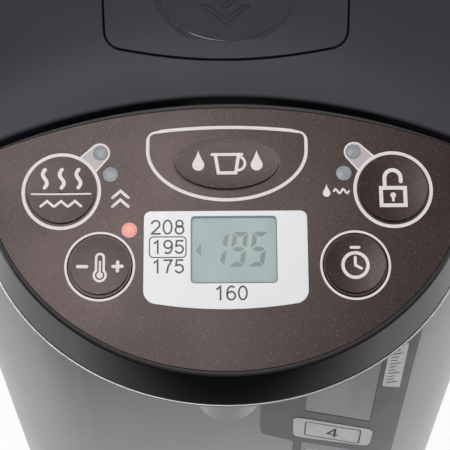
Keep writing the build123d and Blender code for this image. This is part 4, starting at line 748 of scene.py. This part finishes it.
def cornered(low_x, high_x, low_y, high_y, radius, steps):
    """Outline of a box with round corners, from its right side anticlockwise."""
    places = ((high_x - radius, high_y - radius), (low_x + radius, high_y - radius),
              (low_x + radius, low_y + radius), (high_x - radius, low_y + radius))
    return [point for i, place in enumerate(places)
            for point in arc(*place, radius, 90 * i, 90 * i + 90, steps)]


piece("setting_mark", stroke(cornered(-25.6, -13.6, -5.8, 1.1, 1.3, 6), 0.36, True),
      flat_on_panel(plate_top), "number_ink", "pot")

window_left, window_right, window_low, window_high, window_corner = -11.9, 16.1, -14.3, 7.9, 1.3
hollow = [(x - window_corner, y - window_corner) for x, y in arc(0, 0, window_corner, 0, 90, 8)]
spandrel = [[(0.1, 0.1), hollow[i], hollow[i + 1]] for i in range(8)]
spandrels = []
for turn, x, y in ((0, window_right, window_high), (90, window_left, window_high),
                   (180, window_left, window_low), (270, window_right, window_low)):
    spandrels += moved(spandrel, x, y, 1, turn)
piece("display_corners", spandrels, flat_on_panel(plate_rise), "plate_gloss", "pot")
window_edge = cornered(window_left, window_right, window_low, window_high, window_corner, 8)
# a grey-green line round the window, painted shade of the surround's inner edge
piece("display_edge_shade", stroke(window_edge, 0.4, True), flat_on_panel(plate_top), "lcd_shade",
      "pot")


def segments(lit, width, height, thick):
    """Seven-segment digit's lit bars, slanted, from its lower left corner."""
    gap = 0.22
    middle = height / 2
    bars = {
        "a": [(gap, height), (width - gap, height), (width - thick - gap, height - thick),
              (thick + gap, height - thick)],
        "d": [(thick + gap, thick), (width - thick - gap, thick), (width - gap, 0), (gap, 0)],
        "g": [(gap + 0.3, middle), (thick + 0.1, middle + thick / 2),
              (width - thick - 0.1, middle + thick / 2), (width - gap - 0.3, middle),
              (width - thick - 0.1, middle - thick / 2), (thick + 0.1, middle - thick / 2)],
    }
    for name, low, high in (("e", 0, middle), ("f", middle, height)):
        bars[name] = [(0, low + gap + 0.25), (thick, low + gap + 0.25 + thick * 0.8),
                      (thick, high - gap - 0.25 - thick * 0.8), (0, high - gap - 0.25)]
    for name, twin in (("c", "e"), ("b", "f")):
        bars[name] = [(width - x, y) for x, y in reversed(bars[twin])]
    lean = tan(radians(8))
    return [[(x + y * lean, y) for x, y in bars[name]] for name in lit]


figures = []
for x, lit in ((-6.1, "bc"), (0.3, "abcdfg"), (6.8, "acdfg")):
    figures += moved(segments(lit, 5.0, 11.6, 1.5), x, -8.8)
figures.append([(-10.6, -3.3), (-8.7, -1.3), (-8.7, -5.3)])
piece("display_figures", figures, flat_on_panel(INK - window_sink), "lcd_ink", "pot")


# ---------------------------------------------------------------- bead along the beak's edge
def bead(name, route, radii, up, look, body):
    """Round rod along a line of points, with its radius at each, on a body."""
    sides = 10
    vertices, polygons = [], []
    for i, point in enumerate(route):
        ahead = (route[min(i + 1, len(route) - 1)] - route[max(i - 1, 0)]).normalized()
        out = ahead.cross(up).normalized()
        rise = out.cross(ahead)
        for j in range(sides):
            turn = 2 * pi * j / sides
            vertices.append(point + (out * cos(turn) + rise * sin(turn)) * radii[i] * MM)
        if i:
            first, last = (i - 1) * sides, i * sides
            polygons += [(first + j, first + (j + 1) % sides, last + (j + 1) % sides, last + j)
                         for j in range(sides)]
    polygons += [list(range(sides - 1, -1, -1)), list(range(len(vertices) - sides, len(vertices)))]
    mesh = bpy.data.meshes.new(name)
    mesh.from_pydata(vertices, [], polygons)
    mesh.materials.append(looks[look].material)
    for polygon in mesh.polygons:
        polygon.use_smooth = len(polygon.vertices) == 4
    made = bpy.data.objects.new(name, mesh)
    scene.collection.objects.link(made)
    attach(made, body)


beak_depth = 19.0
beak_half, beak_reach = 86.0, 73.3
beak_waist = sheet_waist - beak_depth * tan(panel_slope)
beak_steps = 120
beak_turns = [radians(184 + 172 * i / beak_steps) for i in range(beak_steps + 1)]
beak_route = [on_panel(beak_half * cos(t), beak_waist + beak_reach * sin(t), 0.35 - beak_depth)
              for t in beak_turns]
bead("beak_bead", beak_route, [0.42] * len(beak_route), panel_normal, "trim_silver", "pot")


# ---------------------------------------------------------------- water gauge plates
on_gauge = ("gauge_bezel", "gauge_lens", "outer_sleeve")
plate_thickness = 0.3
gauge = laid_on_front(on_gauge, plate_thickness + 0.05)
for name, corners, radius in (
        ("level_plate", [(26.6, 180.2), (60.6, 167.9), (60.2, 153.0), (27.3, 163.0)], 3.4),
        ("side_plate", [(59.9, 236.0), (60.2, 205.6), (67.5, 202.4), (67.0, 236.0)], 0.9)):
    thicken(piece(name, fan(rounded(corners, radius)), gauge, "gauge_plate", "pot"), plate_thickness, 0.08, (0, -1, 0))

gauge_ink = laid_on_front(on_gauge, plate_thickness + 0.1)
lean = (167.2 - 179.2) / (60.0 - 26.8)            # of the level plate's upper edge
level_x = 43.6


def leaning(points):
    """Points sheared to follow the level plate."""
    return [(x, z + (x - level_x) * lean) for x, z in points]


frame_line = rounded([(32.0, 172.0), (55.4, 172.0), (55.4, 160.0), (32.0, 160.0)], 1.2)
piece("level_number", [leaning(face) for face in number("4", level_x, 166.0, 8.0, 0.9)]
      + stroke(leaning(frame_line), 0.5, True), gauge_ink, "number_ink", "pot")
ticks = [[(61.6, 208 + 2.4 * i), (64.0 if i % 3 else 65.6, 208 + 2.4 * i)] for i in range(11)]
piece("level_ticks", strokes(ticks, 0.45), gauge_ink, "number_ink", "pot")
scale = [[(33.5, 92 + 9.5 * i), (36.0 if i % 2 else 38.5, 92 + 9.5 * i)] for i in range(7)]
piece("pane_scale", strokes(scale, 0.5), laid_on_front(("gauge_lens", "gauge_bezel"), 0.05),
      "print_ink", "pot")

# ---------------------------------------------------------------- sign in the lever's dent
sign_rise = 0.30
arrow = [(-8.4, 4.2), (-5.9, 4.2), (0, -1.3), (5.9, 4.2), (8.4, 4.2), (0, -3.7)]
arrows = [face for y in (-18.1, -24.7) for face in moved(stroke(arrow, 0.42, True, 0.7), 0, y)]
lever_sign = piece("lever_sign", arrows, laid_on_top(("lid_lever",), sign_rise), "lid_plastic",
                   "lever")
thicken(lever_sign, sign_rise + 0.05, 0.1, (0, 0, 1))

# bead on the front of the dent's edge, thickest at its left and a hair at its right
dent_half, dent_reach, dent_y = 22.7, 18.1, -17.0
ledge_out = 1.04                  # the bead takes its height this far out on the ledge
dent_steps, thick_steps = 40, 26
thin, thickening = 0.06, 0.36
on_ledge = laid_on_top(("lid_lever",), 0.0)
dent_route, dent_radii = [], []
for i in range(dent_steps + 1):
    turn = radians(203 + 110 * i / dent_steps)
    x, y = dent_half * cos(turn), dent_reach * sin(turn)
    ledge = on_ledge(ledge_out * x, dent_y + ledge_out * y)
    dent_route.append(Vector((x * MM, (dent_y + y) * MM, ledge.z)))
    dent_radii.append(thin + (thickening * sin(pi * i / thick_steps) ** 0.7
                              if i < thick_steps else 0))
bead("dent_edge", dent_route, dent_radii, Vector((0, 0, 1)), "lid_edge", "lever")
